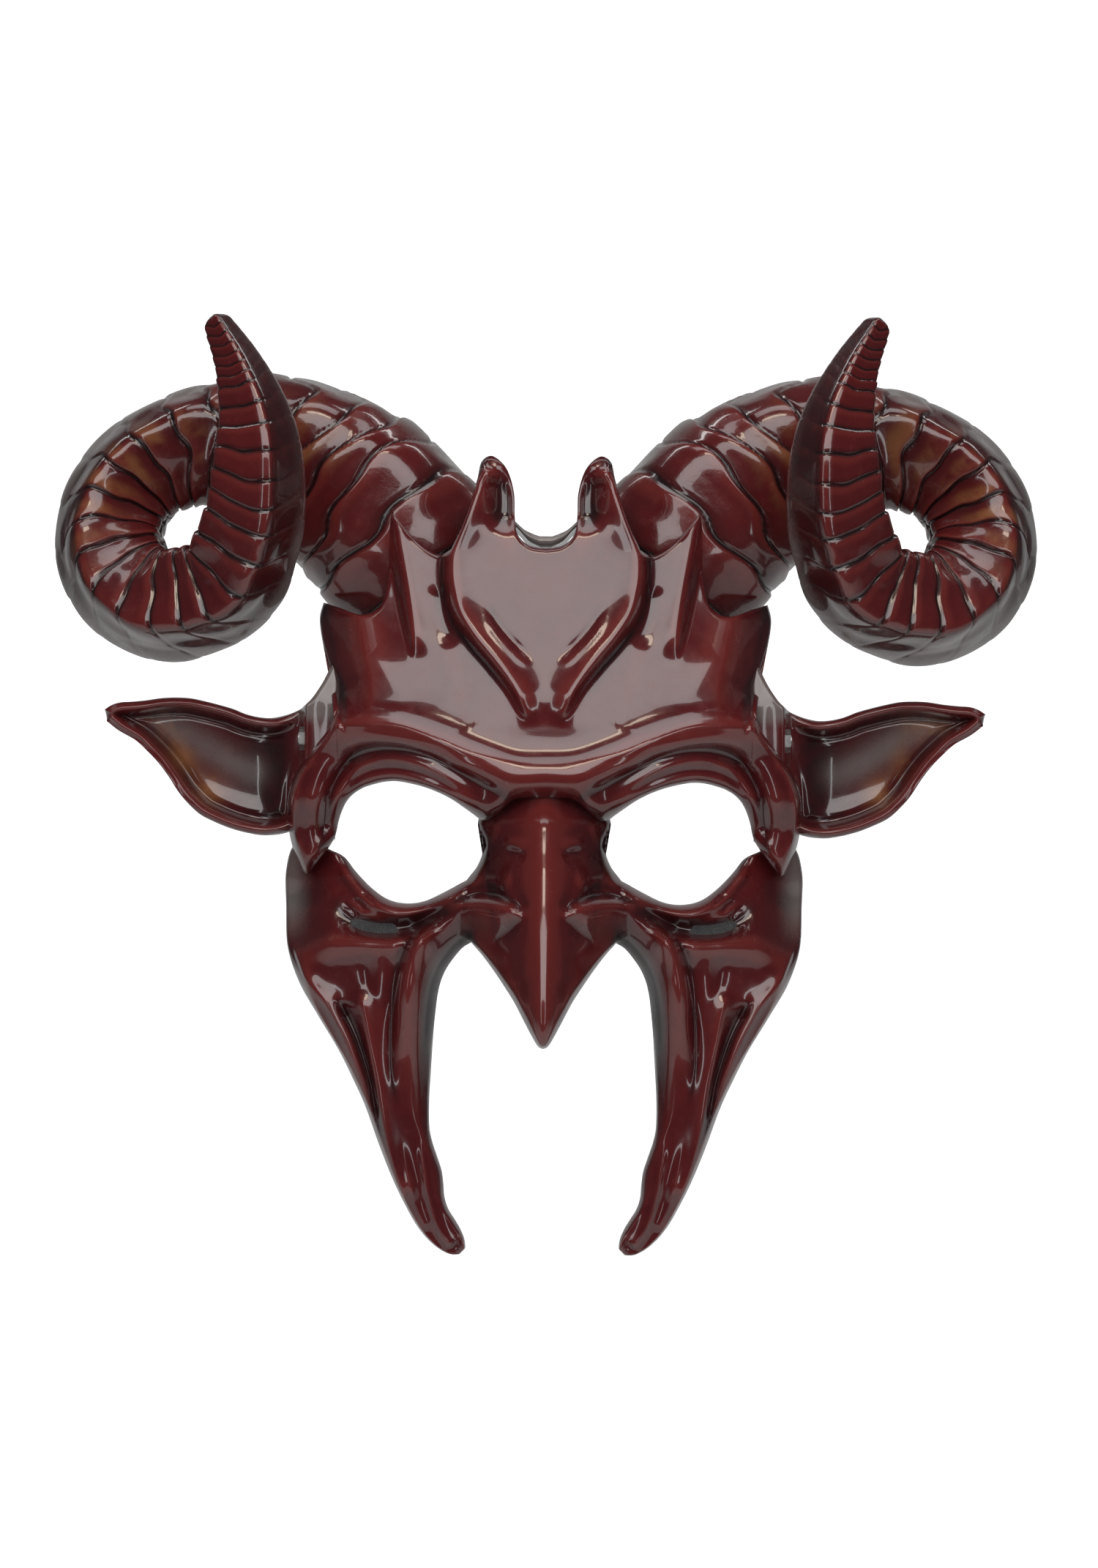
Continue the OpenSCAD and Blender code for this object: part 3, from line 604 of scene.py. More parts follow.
# Depth of the face's front: the sheet with its folds and cheek knob, and every rim turned back. v runs from
# 0 on the outer edge to 1 on the inner one
def faceDepth(x, z, v, spec):
    x = np.abs(x)
    ridgeRound = spec["ridgeRound"]
    across = np.sqrt(x * x + ridgeRound) - math.sqrt(ridgeRound)
    y = faceSheet(x, z, across, spec["noseHalf"], spec["noseFall"], 0.5) - folded(x, z, faceFolds)
    y -= 1.4 * bell(np.hypot(x - 66.0, (z + 31) * 1.1), 5)
    y += (turnedBack(v, 11, 1 / 7) + turnedBack(1 - v, 4, 1 / 7)) * ease(-26, -44, z)
    eyeRim = lineField(x, z, spec["outer"][3:15], 3)[0]
    mouthRim = lineField(x, z, spec["inner"][7:24], 3)[0]
    beakRim = lineField(x, z, spec["inner"][:8], 3)[0]
    y += turnedBack(eyeRim, 3.6, 2.4) + turnedBack(beakRim, 2.4, 1.8)
    return y + turnedBack(mouthRim, 6, 5) * ease(18.6, 21, x) * ease(-76, -40, z)


def makeFace(spec, material):
    grid = spannedGrid(spec["outer"], spec["inner"], spec["corners"], spec["spacing"], spec["rows"])
    halfX, halfZ, v = (part[..., ::-1] for part in grid)
    x, z = mirrored(halfX, -1), mirrored(halfZ, 1)
    y = faceDepth(x, z, np.broadcast_to(v, x.shape), spec) + 0.1 * unevenness(x, z, 23, 0.16)
    points, faces = shellSkin(x, y, z, edgeDistance(x, z), maskSpec)
    ax = np.abs(x)
    recess, raised = paintByRelief(y, 0.5)
    # Painted shade round the inner eye corners and on the turned-back mouth wall; wash and painted shade
    # along the bag groove, valley, wing crease and inner line
    recess = np.maximum(recess, 0.72 * bell(np.hypot(ax - 15.5, (z + 3) * 0.5), 4.6))
    washedAndShadedLines = ((bagGroove, 0.7, 2.2), (valley, 0.7, 1.5), (wingCrease, 0.6, 1.2), (innerLine, 0.6, 0.9))
    for line, amount, width in washedAndShadedLines:
        dist, _, along = lineField(ax, z, line)
        shade = amount * bell(dist, width) * ease(0, 0.15, along) * (1 - ease(0.85, 1, along))
        recess = np.maximum(recess, shade)
    mouthRim = lineField(ax, z, spec["inner"][7:24], 3)[0]
    mouthWall = np.minimum(1.3 * bell(mouthRim, 3.6), 0.97) * ease(17, 20, ax) * ease(-80, -44, z)
    recess = np.maximum(recess, mouthWall)
    facts = {
        "recess": shellValues(recess, 0.75), "raised": shellValues(raised, 0.0),
        # painted sheen on the temples, which face sideways
        "smoked": shellValues(0.75 * ease(62, 68.5, ax) * ease(-30, -16, z), 0.0),
    }
    return makePiece("face", points * mm, faces, material, "lacquer", "face_shell", facts)


makeFace(faceSpec, shellMaterial)
print("face built", flush=True)


hornSpec = {
    "path": [
        (33, 37, 74), (38, 37, 80), (51, 37, 94), (72, 38, 107), (98, 40, 108), (115, 40, 99),
        (121, 36, 84), (115.6, 28, 70), (102.6, 18, 63.8), (86, 6, 69), (78.6, -3, 84), (76.8, -6, 100),
        (78, -4, 114), (82.6, -1, 128), (89.6, 2.6, 141.4),
    ],
    "radii": (26, 26, 25, 21, 15.5, 12.8, 12.6, 12.6, 12.8, 12.2, 11.4, 10.2, 8.2, 5.4, 2.8),
    "cuts": 900, "sides": 96, "wall": 2.4, "hollow": 8.0, "sharpness": 6.0, "swell": 0.975,
    "facets": (-48, 48, 138, 222),  # degrees from the keel to each flat of the section
    # each is a list of (distance along the horn, value): keel's angle, band number, lip height, how wavy the
    # bands run, length of a band, half-width of its groove, degrees from the keel to where the smoke grey and
    # painted sheen start
    "bandAt": ((0, 0), (22, 1.4), (44, 4), (80, 8), (118, 12.2), (160, 16.6), (196, 21.2),
               (232, 27), (270, 39)),
    "keelAt": ((0, 126), (60, 120), (90, 113), (130, 108), (165, 108), (195, 105), (235, 101)),
    "lipAt": ((0, 0.5), (20, 1.5), (80, 1.6), (120, 1.15), (190, 0.95), (225, 0.55), (262, 0.22)),
    "waveAt": ((0, 3.4), (60, 3.2), (90, 1.8), (130, 1.1), (200, 0.5), (270, 0.1)),
    "bandLengthAt": ((0, 9.5), (90, 7), (200, 4.6), (260, 2.4)),
    "grooveAt": ((0, 0.6), (90, 0.5), (200, 0.42), (260, 0.28)),
    "smokeAndSheenAt": ((0, 26), (60, 30), (100, 46), (130, 64), (200, 60)),
}


# A value between its (distance, value) pairs
def alongHorn(pairs, s):
    return np.interp(s, *np.array(pairs).T)


# Each vector divided by its length
def unit(v):
    return v / np.maximum(np.linalg.norm(v, axis=-1, keepdims=True), 1e-9)


# Cup-shaped bands: height climbs quickly after each groove, swells, and drops back at the next lip
def bandShape(phase):
    f = phase - np.floor(phase)
    return ease(0, 0.12, f) * (0.55 + 0.45 * ease(0.1, 0.8, f)) * (1 - 0.9 * ease(0.9, 1.0, f))


# The horn's curve cut into even rings: distance, centre, radius, direction and the two axes of each ring
def hornGrid(spec):
    knots = curveThrough(spec["path"], [80] * (len(spec["path"]) - 1))
    run = np.concatenate([[0], np.cumsum(np.linalg.norm(np.diff(knots, axis=0), axis=1))])
    radiusAlong = curveThrough([(r, 0) for r in spec["radii"]], [80] * (len(spec["radii"]) - 1))[:, 0]
    s = np.linspace(0, run[-1], spec["cuts"])
    centre = np.stack([np.interp(s, run, knots[:, k]) for k in range(3)], 1)
    radius = np.interp(s, run, radiusAlong)
    d = unit(np.gradient(centre, axis=0))
    d = unit(np.stack([blurred(d[:, [k]], 9)[:, 0] for k in range(3)], 1))
    side = unit(np.cross(np.array([0, 1.0, 0]), d))
    front = np.cross(side, d)
    a = np.linspace(0, 2 * math.pi, spec["sides"], endpoint=False)
    return s, run[-1], centre, radius, d, side, front, a


# Round at the root, then four soft facets whose meeting line is the keel between front and outer side:
# r = (sum of cos(angle off each facet)^p)^(-1/p)
def hornSection(deg, keel, s, spec):
    p = spec["sharpness"]
    total = 0.0
    for turn in spec["facets"]:
        total = total + np.maximum(np.cos(np.radians(deg - keel - turn)), 0) ** p
    square = total ** (-1 / p) * spec["swell"]
    amount = 0.3 + 0.7 * ease(60, 100, s)
    return 1 + (square - 1) * amount * ease(0, 30, s)


# Paint on the horn: wash and painted shade in the grooves, painted shadow at the foot of each band, painted
# shade on the outer flank and the loop's inner wall, smoke grey with painted sheen on the far side, painted
# gold glints on the upper front, and painted highlights on the bands' backs and the keel. f is the share of
# the way across a band
def hornPaint(deg, ss, f, keel, inward, outer, strand, spec):
    near = np.minimum(f, 1 - f) * alongHorn(spec["bandLengthAt"], ss)
    groove = 0.9 * bell(near, alongHorn(spec["grooveAt"], ss))
    groove = groove * (1 - 0.6 * ease(keel + 10, keel + 40, deg) * outer)
    shadow = 0.35 * (1 - ease(0.05, 0.3, f))
    curled = ease(70, 100, ss)
    flank = 0.6 * ease(keel + 1, keel + 7, deg) * (1 - ease(keel + 70, keel + 100, deg)) * curled
    recess = np.maximum(np.maximum(groove, shadow), np.maximum(0.85 * inward, flank))
    past = keel + alongHorn(spec["smokeAndSheenAt"], ss)
    away = ease(past - 8, past + 22, deg) * (1 - ease(215, 245, deg) * (1 - ease(60, 100, ss))) * outer
    smoked = away * (1 - 0.85 * strand) * (1 - inward)
    gilded = 0.55 * bell(deg - 92, 32) * ease(20, 50, ss) * (1 - ease(112, 140, ss))
    gilded = gilded * ease(0.25, 0.6, f) * (1 - ease(0.8, 0.97, f))
    raised = ease(0.55, 0.85, f) * (1 - ease(0.9, 1, f)) * (1 - away)
    raised = np.maximum(raised, bell(deg - keel, 4.5) * curled)
    return {"recess": recess, "smoked": smoked, "gilded": gilded, "raised": raised}


# A point at distance s and angle a is centre + radius * (side * cos a + front * sin a). The radius is the
# plain one times the section, plus the bands' lips, small dents and the thicker inner wall of the loop
def makeHorn(name, sign, spec, material, node):
    s, total, centre, radius, d, side, front, a = hornGrid(spec)
    ss, aa = s[:, None], a[None, :]
    deg = np.degrees(aa)
    keel = alongHorn(spec["keelAt"], ss)
    inward = bell(deg - 318, 34) * ease(84, 100, ss) * (1 - ease(150, 172, ss))
    outer = 1 - ease(290, 330, deg)
    root, strand = 1 - ease(70, 95, ss), ease(186, 200, ss)
    beyondKeel = (0.3 + 0.5 * ease(60, 100, ss)) * ease(keel - 4, keel + 12, deg) * outer
    lip = alongHorn(spec["lipAt"], ss) * (1 - beyondKeel) * (1 - 0.9 * inward)
    bend = alongHorn(spec["waveAt"], ss) * (
        0.75 * np.sin(2 * aa + 0.05 * ss + 0.6) + 0.5 * np.sin(3 * aa + 0.11 * ss + 1.9)
        + 0.28 * np.sin(7 * aa + 0.3 * ss))
    bend += strand * 3.2 * np.maximum(np.sin(aa), 0) ** 1.5 + (1 - strand) * (1 - root) * 1.2 * np.cos(aa)
    phase = alongHorn(spec["bandAt"], ss + bend)
    number = np.floor(phase)
    f = phase - number
    size = 0.8 + 0.35 * np.sin(number * 12.9898) * np.sin(number * 4.1)  # no two bands alike
    r = radius[:, None] * hornSection(deg, keel, ss, spec) + lip * size * bandShape(phase)
    dents = (0.34 * root + 0.26 * (1 - strand)) * np.sin(aa * 5 + number * 2.3) * np.sin(f * 3.1)
    lumps = 0.22 * np.cos(aa * 6 + 0.21 * ss) * unevenness(aa * 13, ss * 0.9, 5, 0.33)
    r = np.maximum(r + dents * (1 - inward) + lumps * (1 - strand) - lip * 0.55, 1.0)
    r = r * (1 + (0.34 + 0.2 * bell(ss - 112, 22)) * inward)
    r = r * np.sqrt(1 - np.clip((ss - total + 2.6) / 2.7, 0, 1) ** 2)  # rounded tip
    ring = side[:, None, :] * np.cos(aa)[..., None] + front[:, None, :] * np.sin(aa)[..., None]
    # hollow root's inner wall, its rim and the skin, with a pole at the hollow's floor and one at the tip
    bore = ring[0] * (radius[0] - spec["wall"])
    floor = centre[0] + d[0] * spec["hollow"]
    skin = np.concatenate([[floor + bore, centre[0] + bore], centre[:, None, :] + ring * r[..., None]])
    n, m = skin.shape[:2]
    ids = np.arange(n * m).reshape(n, m)
    ids = np.concatenate([ids, ids[:, :1]], 1)
    points = np.vstack([skin.reshape(-1, 3), floor, centre[-1] + d[-1] * 0.1])
    faces = gridQuads(ids).tolist() + fan(ids[0], n * m) + fan(ids[-1, ::-1], n * m + 1)

    def onPoints(grid, inside):
        grid = np.broadcast_to(grid, (len(s), len(a)))
        return np.concatenate([np.full(2 * m, inside), grid.ravel(), [inside, 0.0]])

    paint = hornPaint(deg, ss, f, keel, inward, outer, strand, spec)
    # The hollow root's inner wall and floor get half wash and painted shade
    facts = {key: onPoints(grid, 0.5 if key == "recess" else 0.0) for key, grid in paint.items()}
    return makePiece(name, *onSide(points, faces, sign), material, "horn_lacquer", node, facts)


makeHorn("right_ram_horn", 1, hornSpec, hornMaterial, "right_horn")
makeHorn("left_ram_horn", -1, hornSpec, hornMaterial, "left_horn")
print("horns built", flush=True)


earSpec = {
    "thick": 2.2, "lip": 1.1, "spacing": 0.62, "rows": 72, "cup": 8.0, "plateY": 13.5,
    "rootX": 65.4, "reach": 53,
    # Painted sheen runs along the sheen line, and the gold patches are painted gold glints
    "sheen": [(80, 19), (88, 23), (97, 29), (104, 33)],
    "gold_glint": [(104, 32.5, 5), (100, 22, 4.5), (92, 14, 4)],  # x, z and width of each patch
    "low": [
        (56.4, 31), (58.5, 27), (61, 24), (63.4, 20.6), (65, 15), (65.6, 9), (66.6, 5), (68.6, 3), (71.4, 2),
        (74.4, 1.6), (77.4, 1.6), (81.4, 2.3), (85.4, 3.4), (89.4, 5), (93.4, 7), (96.4, 9.6), (99.4, 13),
        (102.4, 17.6), (105.4, 21.5), (108.4, 24.6), (111.4, 27.3), (115.8, 29.8), (119.2, 32.4),
    ],
    "high": [
        (55.8, 50.5), (57.4, 48.6), (58.8, 46.2), (60.2, 43.4), (61.8, 40.8), (63.6, 38.4), (65.8, 36.6),
        (68.4, 35.2), (71.4, 34.2), (74.6, 33.6), (78, 33.8), (81.4, 34.6), (84.9, 36), (88.4, 37),
        (92.4, 38), (96.4, 38.8), (100.4, 39), (104.4, 38.8), (108.4, 38.2), (112.4, 37.8), (115.4, 37.6),
        (117.8, 36.9), (119.8, 35.6),
    ],
}


# A cupped leaf: columns from the lower edge to the upper one. s runs from 0 at the root to 1 at the tip, and
# t across. The cup is deepest behind the root and fades to the tip, inside a rolled rim
def makeEar(name, sign, spec, material, node):
    x, z, t = spannedGrid(spec["low"], spec["high"], (), spec["spacing"], spec["rows"])
    s = np.clip((x - spec["rootX"]) / spec["reach"], 0, 1)
    y = spec["plateY"] + 9 - 4 * ease(0.1, 0.6, s)
    y = y - 9.6 * ease(66.8, 64.4, x) - 1.6 * ease(64.4, 57, x) + 3.5 * ease(36, 49, z) * ease(66, 58, x)
    y = y + spec["cup"] * ease(0, 0.3, s) * (1 - 0.75 * ease(0.5, 1, s)) * (1 - np.abs(2 * t - 1) ** 3)
    edge = edgeDistance(x, z)
    free = ease(0.02, 0.14, s)
    roll = bell(edge - 1.9, 1.25) * free
    y = y - 2.2 * roll + (1.7 * bell(edge - 4.4, 1.4) + 0.9 * np.clip(1 - edge / 1.4, 0, 1)) * free
    y = y + 0.1 * unevenness(x, z, 31 + sign, 0.3)
    points, faces = shellSkin(x, y, z, edge, spec)
    # Painted shade deep in the cup near the root and just inside the rolled rim, a painted highlight on the
    # roll, painted sheen and painted gold glints inside the cup, and smoke grey with painted sheen at the top
    # of the root and on the back
    inside = ease(2.6, 5.5, edge)
    deep = inside * free * (0.1 + 0.6 * (1 - ease(0.15, 0.45, s)))
    painted_sheen = bell(lineField(x, z, spec["sheen"])[0], 4.2) * inside
    gold_glint = sum(bell(np.hypot(x - atX, z - atZ), wide) for atX, atZ, wide in spec["gold_glint"])
    facts = {
        "recess": shellValues(np.maximum(deep, 0.5 * bell(edge - 4.0, 1.2) * free), 0.3),
        "raised": shellValues(roll, 0.0),
        "smoked": shellValues(0.8 * ease(70, 64, x) * ease(31, 35, z) + 0.6 * painted_sheen, 0.5),
        "gilded": shellValues(0.7 * inside * np.clip(gold_glint, 0, 1), 0.0),
    }
    return makePiece(name, *onSide(points, faces, sign), material, "lacquer", node, facts)


makeEar("right_goat_ear", 1, earSpec, shellMaterial, "right_ear")
makeEar("left_goat_ear", -1, earSpec, shellMaterial, "left_ear")
print("ears built", flush=True)


saddleSpec = {
    "halfWidth": 15.6, "top": 86.0, "dip": 3.6, "legFoot": 66.0, "front": 3.4, "back": 46.0, "thick": 3.0,
    "discRadius": 23.0, "discThick": 2.9, "columns": 90, "rows": 60,
    "root": (33, 37, 74), "normal": (0.64, 0, 0.77),
}


# Half a superellipse profile: up one leg, over a dipped top, down the other leg, carried from front to back
def makeSaddle(spec, material):
    u = np.linspace(-1, 1, spec["columns"])[:, None]
    v = np.linspace(0, 1, spec["rows"])[None, :]
    turn = u * math.pi / 2
    wide = np.sign(np.sin(turn)) * np.abs(np.sin(turn)) ** 0.55
    x = spec["halfWidth"] * wide
    rise = np.abs(np.cos(turn)) ** 0.34
    z = spec["legFoot"] + (spec["top"] - spec["legFoot"]) * rise - spec["dip"] * bell(x, 6.5) * rise
    z = z + 0.5 * np.sin(v * math.pi) + 4.2 * ease(5, 12.5, np.abs(x)) * rise
    y = spec["front"] + (spec["back"] - spec["front"]) * v
    middle = np.array([0, 0, spec["legFoot"]])
    outer = np.stack(np.broadcast_arrays(x, y, z), -1)
    shrink = np.array([1 - spec["thick"] / spec["halfWidth"], 1, 1])
    inner = (outer - middle) * shrink + middle - np.array([0, 0, 1.0]) * (spec["thick"] * rise)[..., None]
    lip = np.sqrt(np.clip(np.minimum(v, 1 - v) / 0.03, 0, 1))
    blend = (lip * np.ones_like(u))[..., None]
    mid = (outer + inner) / 2
    top, under = mid + (outer - mid) * blend, mid + (inner - mid) * blend
    n, m = z.shape
    ids = np.arange(n * m).reshape(n, m)
    below = ids + n * m
    below[:, [0, -1]] = ids[:, [0, -1]]
    quads = [gridQuads(ids), gridQuads(below)[:, ::-1]]
    for row in (0, -1):
        strip = np.stack([ids[row, :-1], ids[row, 1:], below[row, 1:], below[row, :-1]], -1)[1:-1]
        quads.append(strip if row == 0 else strip[:, ::-1])
    corners = []
    for row, turn in ((0, 1), (-1, -1)):
        corners.append([ids[row, 0], ids[row, 1], below[row, 1]][::turn])
        corners.append([ids[row, -1], below[row, -2], ids[row, -2]][::turn])
    used, place = np.unique(np.vstack(quads), return_inverse=True)
    faces = place.reshape(-1, 4).tolist() + np.searchsorted(used, corners).tolist()
    allPoints = [np.vstack([top.reshape(-1, 3), under.reshape(-1, 3)])[used]]
    total = len(used)
    for sign in (-1, 1):
        discPoints, discFaces = makeDisc(spec, sign)
        faces += [[i + total for i in f] for f in discFaces]
        allPoints.append(discPoints)
        total += len(discPoints)
    points = np.vstack(allPoints)
    # Darker towards the bottom, and smoke grey all over
    dark = np.clip((70 - points[:, 2]) / 6, 0, 1)
    facts = {"recess": 0.15 + 0.5 * dark, "smoked": np.full(len(points), 0.75)}
    return makePiece("saddle_cap", points * mm, faces, material, "saddle_lacquer", "saddle", facts)


# Round plate with a rolled rim, turned square to a horn's root
def makeDisc(spec, sign):
    profile = np.array([(0.4, 0), (0.9, 0), (0.97, 0.06), (1, 0.3),
                        (1, 0.7), (0.97, 0.94), (0.9, 1), (0.4, 1)])
    a = np.linspace(0, 2 * math.pi, 73)[:-1]
    normal = unit(np.array(spec["normal"]) * np.array([sign, 1, 1]))
    across = unit(np.cross(np.array([0, 1.0, 0]), normal))
    along = np.cross(normal, across)
    centre = np.array(spec["root"]) * np.array([sign, 1, 1]) - normal * (spec["discThick"] + 1.05)
    ring = across * np.cos(a)[:, None] + along * np.sin(a)[:, None]
    points = (centre + profile[:, None, :1] * spec["discRadius"] * ring[None]
              + profile[:, None, 1:] * spec["discThick"] * normal)
    n, m = points.shape[:2]
    ids = np.arange(n * m).reshape(n, m)
    ids = np.concatenate([ids, ids[:, :1]], 1)
    faces = gridQuads(ids)[:, ::-1].tolist() + fan(ids[0, ::-1], n * m) + fan(ids[-1], n * m + 1)
    return np.vstack([points.reshape(-1, 3), centre, centre + spec["discThick"] * normal]), faces


saddleLook = dict(shellLook, lacquer=(0.07, 0.03, 0.026), smoke_and_sheen_colour=(0.2, 0.185, 0.175))
saddleMaterial = lacquerMaterial("saddle_smoke_lacquer", saddleLook)
makeSaddle(saddleSpec, saddleMaterial)
print("saddle built", flush=True)


padSpec = {"gap": 0.5, "shell": 2.6, "steps": 56, "edge": 0.16}
foamLook = {"colour": (0.03, 0.03, 0.033), "light": (0.075, 0.075, 0.08), "bump": 0.5, "cell": 2600}


# Foam: fine cells, lighter where cells and a slow cloud are both high
def makeFoamMaterial(look):
    material, tree, shader = newMaterial("charcoal_foam")
    place = ownPlace(tree)
    cells = tree.nodes.new("ShaderNodeTexVoronoi")
    cells.inputs["Scale"].default_value = look["cell"]
    tree.links.new(place, cells.inputs["Vector"])
    cloud = noiseNode(tree, place, 160, 4, 0.6)
    mix = mathNode(tree, "MULTIPLY", cloud, cells.outputs["Distance"])
    colour = mixNode(tree, rangeNode(tree, mix, 0.05, 0.45), (*look["colour"], 1), (*look["light"], 1))
    tree.links.new(colour, shader.inputs["Base Color"])
    tree.links.new(rangeNode(tree, cloud, 0.2, 0.8, 0.85, 1.0), shader.inputs["Roughness"])
    shader.inputs["Sheen Weight"].default_value = 0.25
    addBump(tree, shader, mathNode(tree, "ADD", cells.outputs["Distance"], cloud), look["bump"], 0.0004)
    return material


foamMaterial = makeFoamMaterial(foamLook)


# The crown without its folds: the bowed sheet leaning back in two eased stretches
def crownPlain(x, z):
    x = np.abs(x)
    y = bow(x) - maskSpec["browOut"] + 13 * ease(22, 70, z) + 4 * ease(60, 100, z)
    return y + browTurn(x, z) + templeTurn(x, z)


# The face without its folds: the sheet with a slightly wider, straight-ridged nose
def facePlain(x, z):
    x = np.abs(x)
    return faceSheet(x, z, x, 16, 1.1, 0.4)


# Rounded rectangle of foam: flat against the shell, its free side domed with a soft pressed hollow. The rim
# is drawn in along a quarter circle, sqrt(1 - (1 - rim)^2)
def makePad(name, node, centre, half, deep, plain, spec, seed):
    u = np.linspace(-1, 1, spec["steps"] + 1)[:, None]
    w = u.T
    x = centre[0] + half[0] * u * np.sqrt(1 - 0.4 * w * w)
    z = centre[1] + half[1] * w * np.sqrt(1 - 0.4 * u * u)
    rim = np.clip((1 - np.maximum(np.abs(u), np.abs(w))) / spec["edge"], 0, 1)
    dome = np.sqrt(1 - (1 - rim) ** 2)
    base = plain(x, z) + spec["shell"] + spec["gap"]
    puff = deep * (0.62 + 0.3 * dome) - 0.5 * bell(np.hypot(u, w), 0.55)
    puff = puff + 0.14 * unevenness(x, z, seed, 0.45) * dome
    front = np.stack([x, base + 0.35 * deep * (1 - dome), z], -1)
    back = np.stack([x, base + np.maximum(puff, 0.36 * deep), z], -1)
    points, faces = closedSheet(front, back)
    pad = makePiece(name, points * mm, faces, foamMaterial, "foam", node, {})


makePad("forehead_foam", "forehead_pad", (0, 46), (30, 9), 7.0, crownPlain, padSpec, 41)
makePad("nose_foam", "nose_pad", (0, 0), (7, 6), 4.2, facePlain, padSpec, 42)
makePad("right_cheek_foam", "right_cheek_pad", (47, -30), (9, 11), 7.0, facePlain, padSpec, 43)
makePad("left_cheek_foam", "left_cheek_pad", (-47, -30), (9, 11), 7.0, facePlain, padSpec, 44)
print("pads built", flush=True)


# Metal: colour clouds over to tarnish, fine scratches carry roughness and relief
def metalMaterial(name, colour, rough, tarnish):
    material, tree, shader = newMaterial(name)
    place = ownPlace(tree)
    cloud = noiseNode(tree, place, 420, 5, 0.6)
    scratch = noiseNode(tree, place, 2200, 3, 0.5, 1.5)
    tree.links.new(mixNode(tree, rangeNode(tree, cloud, 0.45, 0.75), (*colour, 1), (*tarnish, 1)),
                   shader.inputs["Base Color"])
    tree.links.new(rangeNode(tree, scratch, 0.3, 0.7, rough, rough + 0.2), shader.inputs["Roughness"])
    shader.inputs["Metallic"].default_value = 1.0
    addBump(tree, shader, scratch, 0.25, 0.0002)
    return material


woodLook = {"light": (0.42, 0.27, 0.13, 1), "dark": (0.24, 0.13, 0.055, 1), "rings": 130}


# Pine: bands of wave and noise, dark where both are high
def woodMaterial(look):
    material, tree, shader = newMaterial("plug_pine")
    place = ownPlace(tree)
    bend = noiseNode(tree, place, 60, 4, 0.5)
    wave = tree.nodes.new("ShaderNodeTexWave")
    wave.inputs["Scale"].default_value = look["rings"]
    wave.inputs["Distortion"].default_value = 4
    wave.inputs["Detail"].default_value = 3
    tree.links.new(place, wave.inputs["Vector"])
    grain = mathNode(tree, "ADD", mathNode(tree, "MULTIPLY", wave.outputs["Fac"], 0.6),
                     mathNode(tree, "MULTIPLY", bend, 0.5))
    colour = mixNode(tree, rangeNode(tree, grain, 0.2, 0.9), look["light"], look["dark"])
    tree.links.new(colour, shader.inputs["Base Color"])
    tree.links.new(rangeNode(tree, grain, 0.2, 0.9, 0.5, 0.7), shader.inputs["Roughness"])
    addBump(tree, shader, grain, 0.3, 0.0003)
    return material


# Lacquer for parts with no painted attributes of their own
plateMaterial = lacquerMaterial("plate_lacquer", shellLook)
steelMaterial = metalMaterial("zinc_steel", (0.62, 0.61, 0.6), 0.28, (0.35, 0.34, 0.34))
brassMaterial = metalMaterial("eyelet_brass", (0.55, 0.38, 0.16), 0.25, (0.22, 0.14, 0.06))
pineMaterial = woodMaterial(woodLook)
carried = {
    "horn_screws": steelMaterial, "horn_washers": steelMaterial, "ear_screws": steelMaterial,
    "temple_screws": steelMaterial, "temple_nuts": steelMaterial, "saddle_screws": steelMaterial,
    "saddle_nuts": steelMaterial, "left_strap_eyelet": brassMaterial, "right_strap_eyelet": brassMaterial,
    "left_horn_plug": pineMaterial, "right_horn_plug": pineMaterial, "left_temple_plate": plateMaterial,
    "right_temple_plate": plateMaterial,
}
for nodeName, material in carried.items():
    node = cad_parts[nodeName]
    node.data.materials.clear()
    node.data.materials.append(material)
print("fixings finished", flush=True)


stageSpec = {"floorZ": -0.42, "halfWidth": 2.6, "near": -0.45, "bend": 2.4, "far": 3.4, "height": 3.6,
             "glow": 0.92, "colour": (0.94, 0.94, 0.94),
             "worldLight": (0.035, 0.035, 0.038, 1), "worldSeen": (0.82, 0.83, 0.85, 1)}
lightSpec = [
    # name, place, aimed at, width, height, watts, colour
    ("skySoftbox", (0.0, -1.2, 0.84), (0, 0, 0.05), 2.3, 0.74, 14.5, (1.0, 0.99, 0.98)),
    ("warmLamp", (0.0, -0.78, 1.12), (0, 0, 0), 0.6, 0.2, 2.7, (1.0, 0.85, 0.68)),
    ("topSoftbox", (0.0, -0.05, 1.5), (0, 0, 0.0), 1.2, 0.6, 4.5, (0.97, 0.99, 1.0)),
    ("leftStrip", (-0.85, -1.2, 0.0), (0, 0, 0), 0.15, 0.95, 1.5, (0.95, 0.98, 1.0)),
    ("rightStrip", (0.85, -1.2, 0.0), (0, 0, 0), 0.15, 0.95, 1.5, (0.95, 0.98, 1.0)),
    ("backdropLeft", (-1.1, 0.9, 1.7), (-0.3, 3.0, 0.3), 1.0, 0.6, 9, (1, 1, 1)),
    ("backdropRight", (1.1, 0.9, 1.7), (0.3, 3.0, 0.3), 1.0, 0.6, 9, (1, 1, 1)),
]
cameraSpec = {"distance": 1.5, "frameHeight": 0.4208, "centre": (0.0012, 0.0, 0.016), "roll": 0.32,
              "sensor": 36.0}


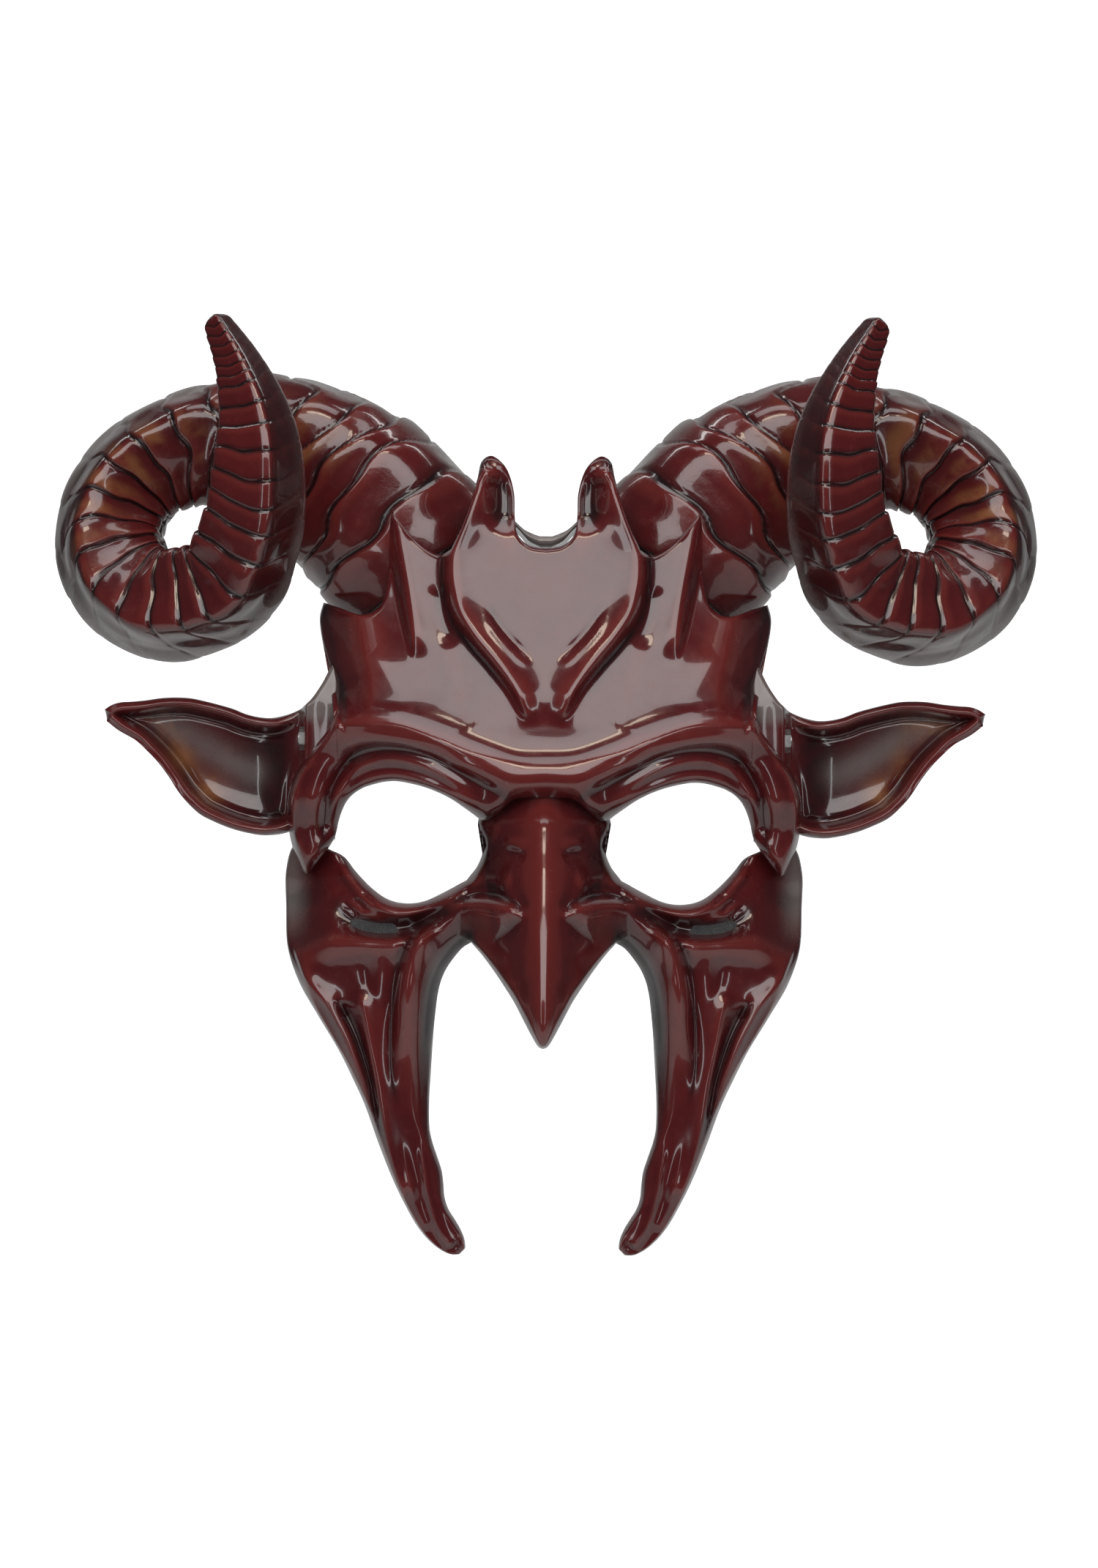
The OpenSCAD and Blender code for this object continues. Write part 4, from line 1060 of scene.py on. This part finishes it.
# Floor that bends up into a backdrop behind the object: a quarter circle between two flats
def makeStage(spec):
    turn = np.linspace(0, math.pi / 2, 24)
    radius = spec["far"] - spec["bend"]
    ys = np.concatenate([[spec["near"]], spec["bend"] + radius * np.sin(turn), [spec["far"]]])
    zs = np.concatenate([[0], radius * (1 - np.cos(turn)), [spec["height"]]]) + spec["floorZ"]
    xs = np.linspace(-spec["halfWidth"], spec["halfWidth"], 3)
    points = np.stack(np.broadcast_arrays(xs[:, None], ys[None], zs[None]), -1)
    ids = np.arange(points.shape[0] * points.shape[1]).reshape(points.shape[:2])
    mesh = bpy.data.meshes.new("floor")
    mesh.from_pydata(points.reshape(-1, 3).tolist(), [], gridQuads(ids)[:, ::-1].tolist())
    mesh.polygons.foreach_set("use_smooth", np.ones(len(mesh.polygons), bool))
    floor = bpy.data.objects.new("floor", mesh)
    bpy.context.scene.collection.objects.link(floor)
    material, tree, shader = newMaterial("paper_backdrop")
    place = ownPlace(tree)
    fibre = noiseNode(tree, place, 60, 3, 0.5)
    light = (*spec["colour"], 1)
    dim = (*(0.985 * c for c in spec["colour"]), 1)
    tree.links.new(mixNode(tree, fibre, light, dim), shader.inputs["Base Color"])
    shader.inputs["Roughness"].default_value = 0.9
    shader.inputs["Specular IOR Level"].default_value = 0.1
    shader.inputs["Emission Color"].default_value = (1, 1, 1, 1)
    seen = tree.nodes.new("ShaderNodeLightPath").outputs["Is Camera Ray"]
    tree.links.new(mathNode(tree, "MULTIPLY", seen, spec["glow"]), shader.inputs["Emission Strength"])
    mesh.materials.append(material)


# Puts an object at a place, its -Z towards the target, turned by roll degrees about that line
def aim(obj, place, target, roll=0.0):
    obj.location = place
    direction = Vector(target) - Vector(place)
    obj.rotation_euler = (direction.to_track_quat("-Z", "Y").to_matrix()
                          @ Matrix.Rotation(math.radians(roll), 3, "Z")).to_euler()


# One rectangular area lamp per row of the table
def addLights(spec):
    for name, place, target, width, height, power, colour in spec:
        data = bpy.data.lights.new(name, "AREA")
        data.shape = "RECTANGLE"
        data.size, data.size_y = width, height
        data.energy = power
        data.color = colour
        lamp = bpy.data.objects.new(name, data)
        bpy.context.scene.collection.objects.link(lamp)
        aim(lamp, place, target)


# A lens long enough that frameHeight metres fill the frame: sensor * distance / frameHeight
def addCamera(spec):
    data = bpy.data.cameras.new("camera")
    data.sensor_fit = "VERTICAL"
    data.sensor_height = spec["sensor"]
    data.lens = spec["sensor"] * spec["distance"] / spec["frameHeight"]
    camera = bpy.data.objects.new("camera", data)
    bpy.context.scene.collection.objects.link(camera)
    centre = Vector(spec["centre"])
    aim(camera, centre + Vector((0, -spec["distance"], 0)), centre, spec["roll"])
    bpy.context.scene.camera = camera


makeStage(stageSpec)
addLights(lightSpec)
addCamera(cameraSpec)
world = bpy.data.worlds.new("studio")
world.use_nodes = True
worldTree = world.node_tree
seen = worldTree.nodes.new("ShaderNodeLightPath").outputs["Is Camera Ray"]
worldColour = mixNode(worldTree, seen, stageSpec["worldLight"], stageSpec["worldSeen"])
worldTree.links.new(worldColour, worldTree.nodes["Background"].inputs["Color"])
bpy.context.scene.world = world
bpy.context.scene.view_settings.view_transform = "Standard"
print("stage set", flush=True)
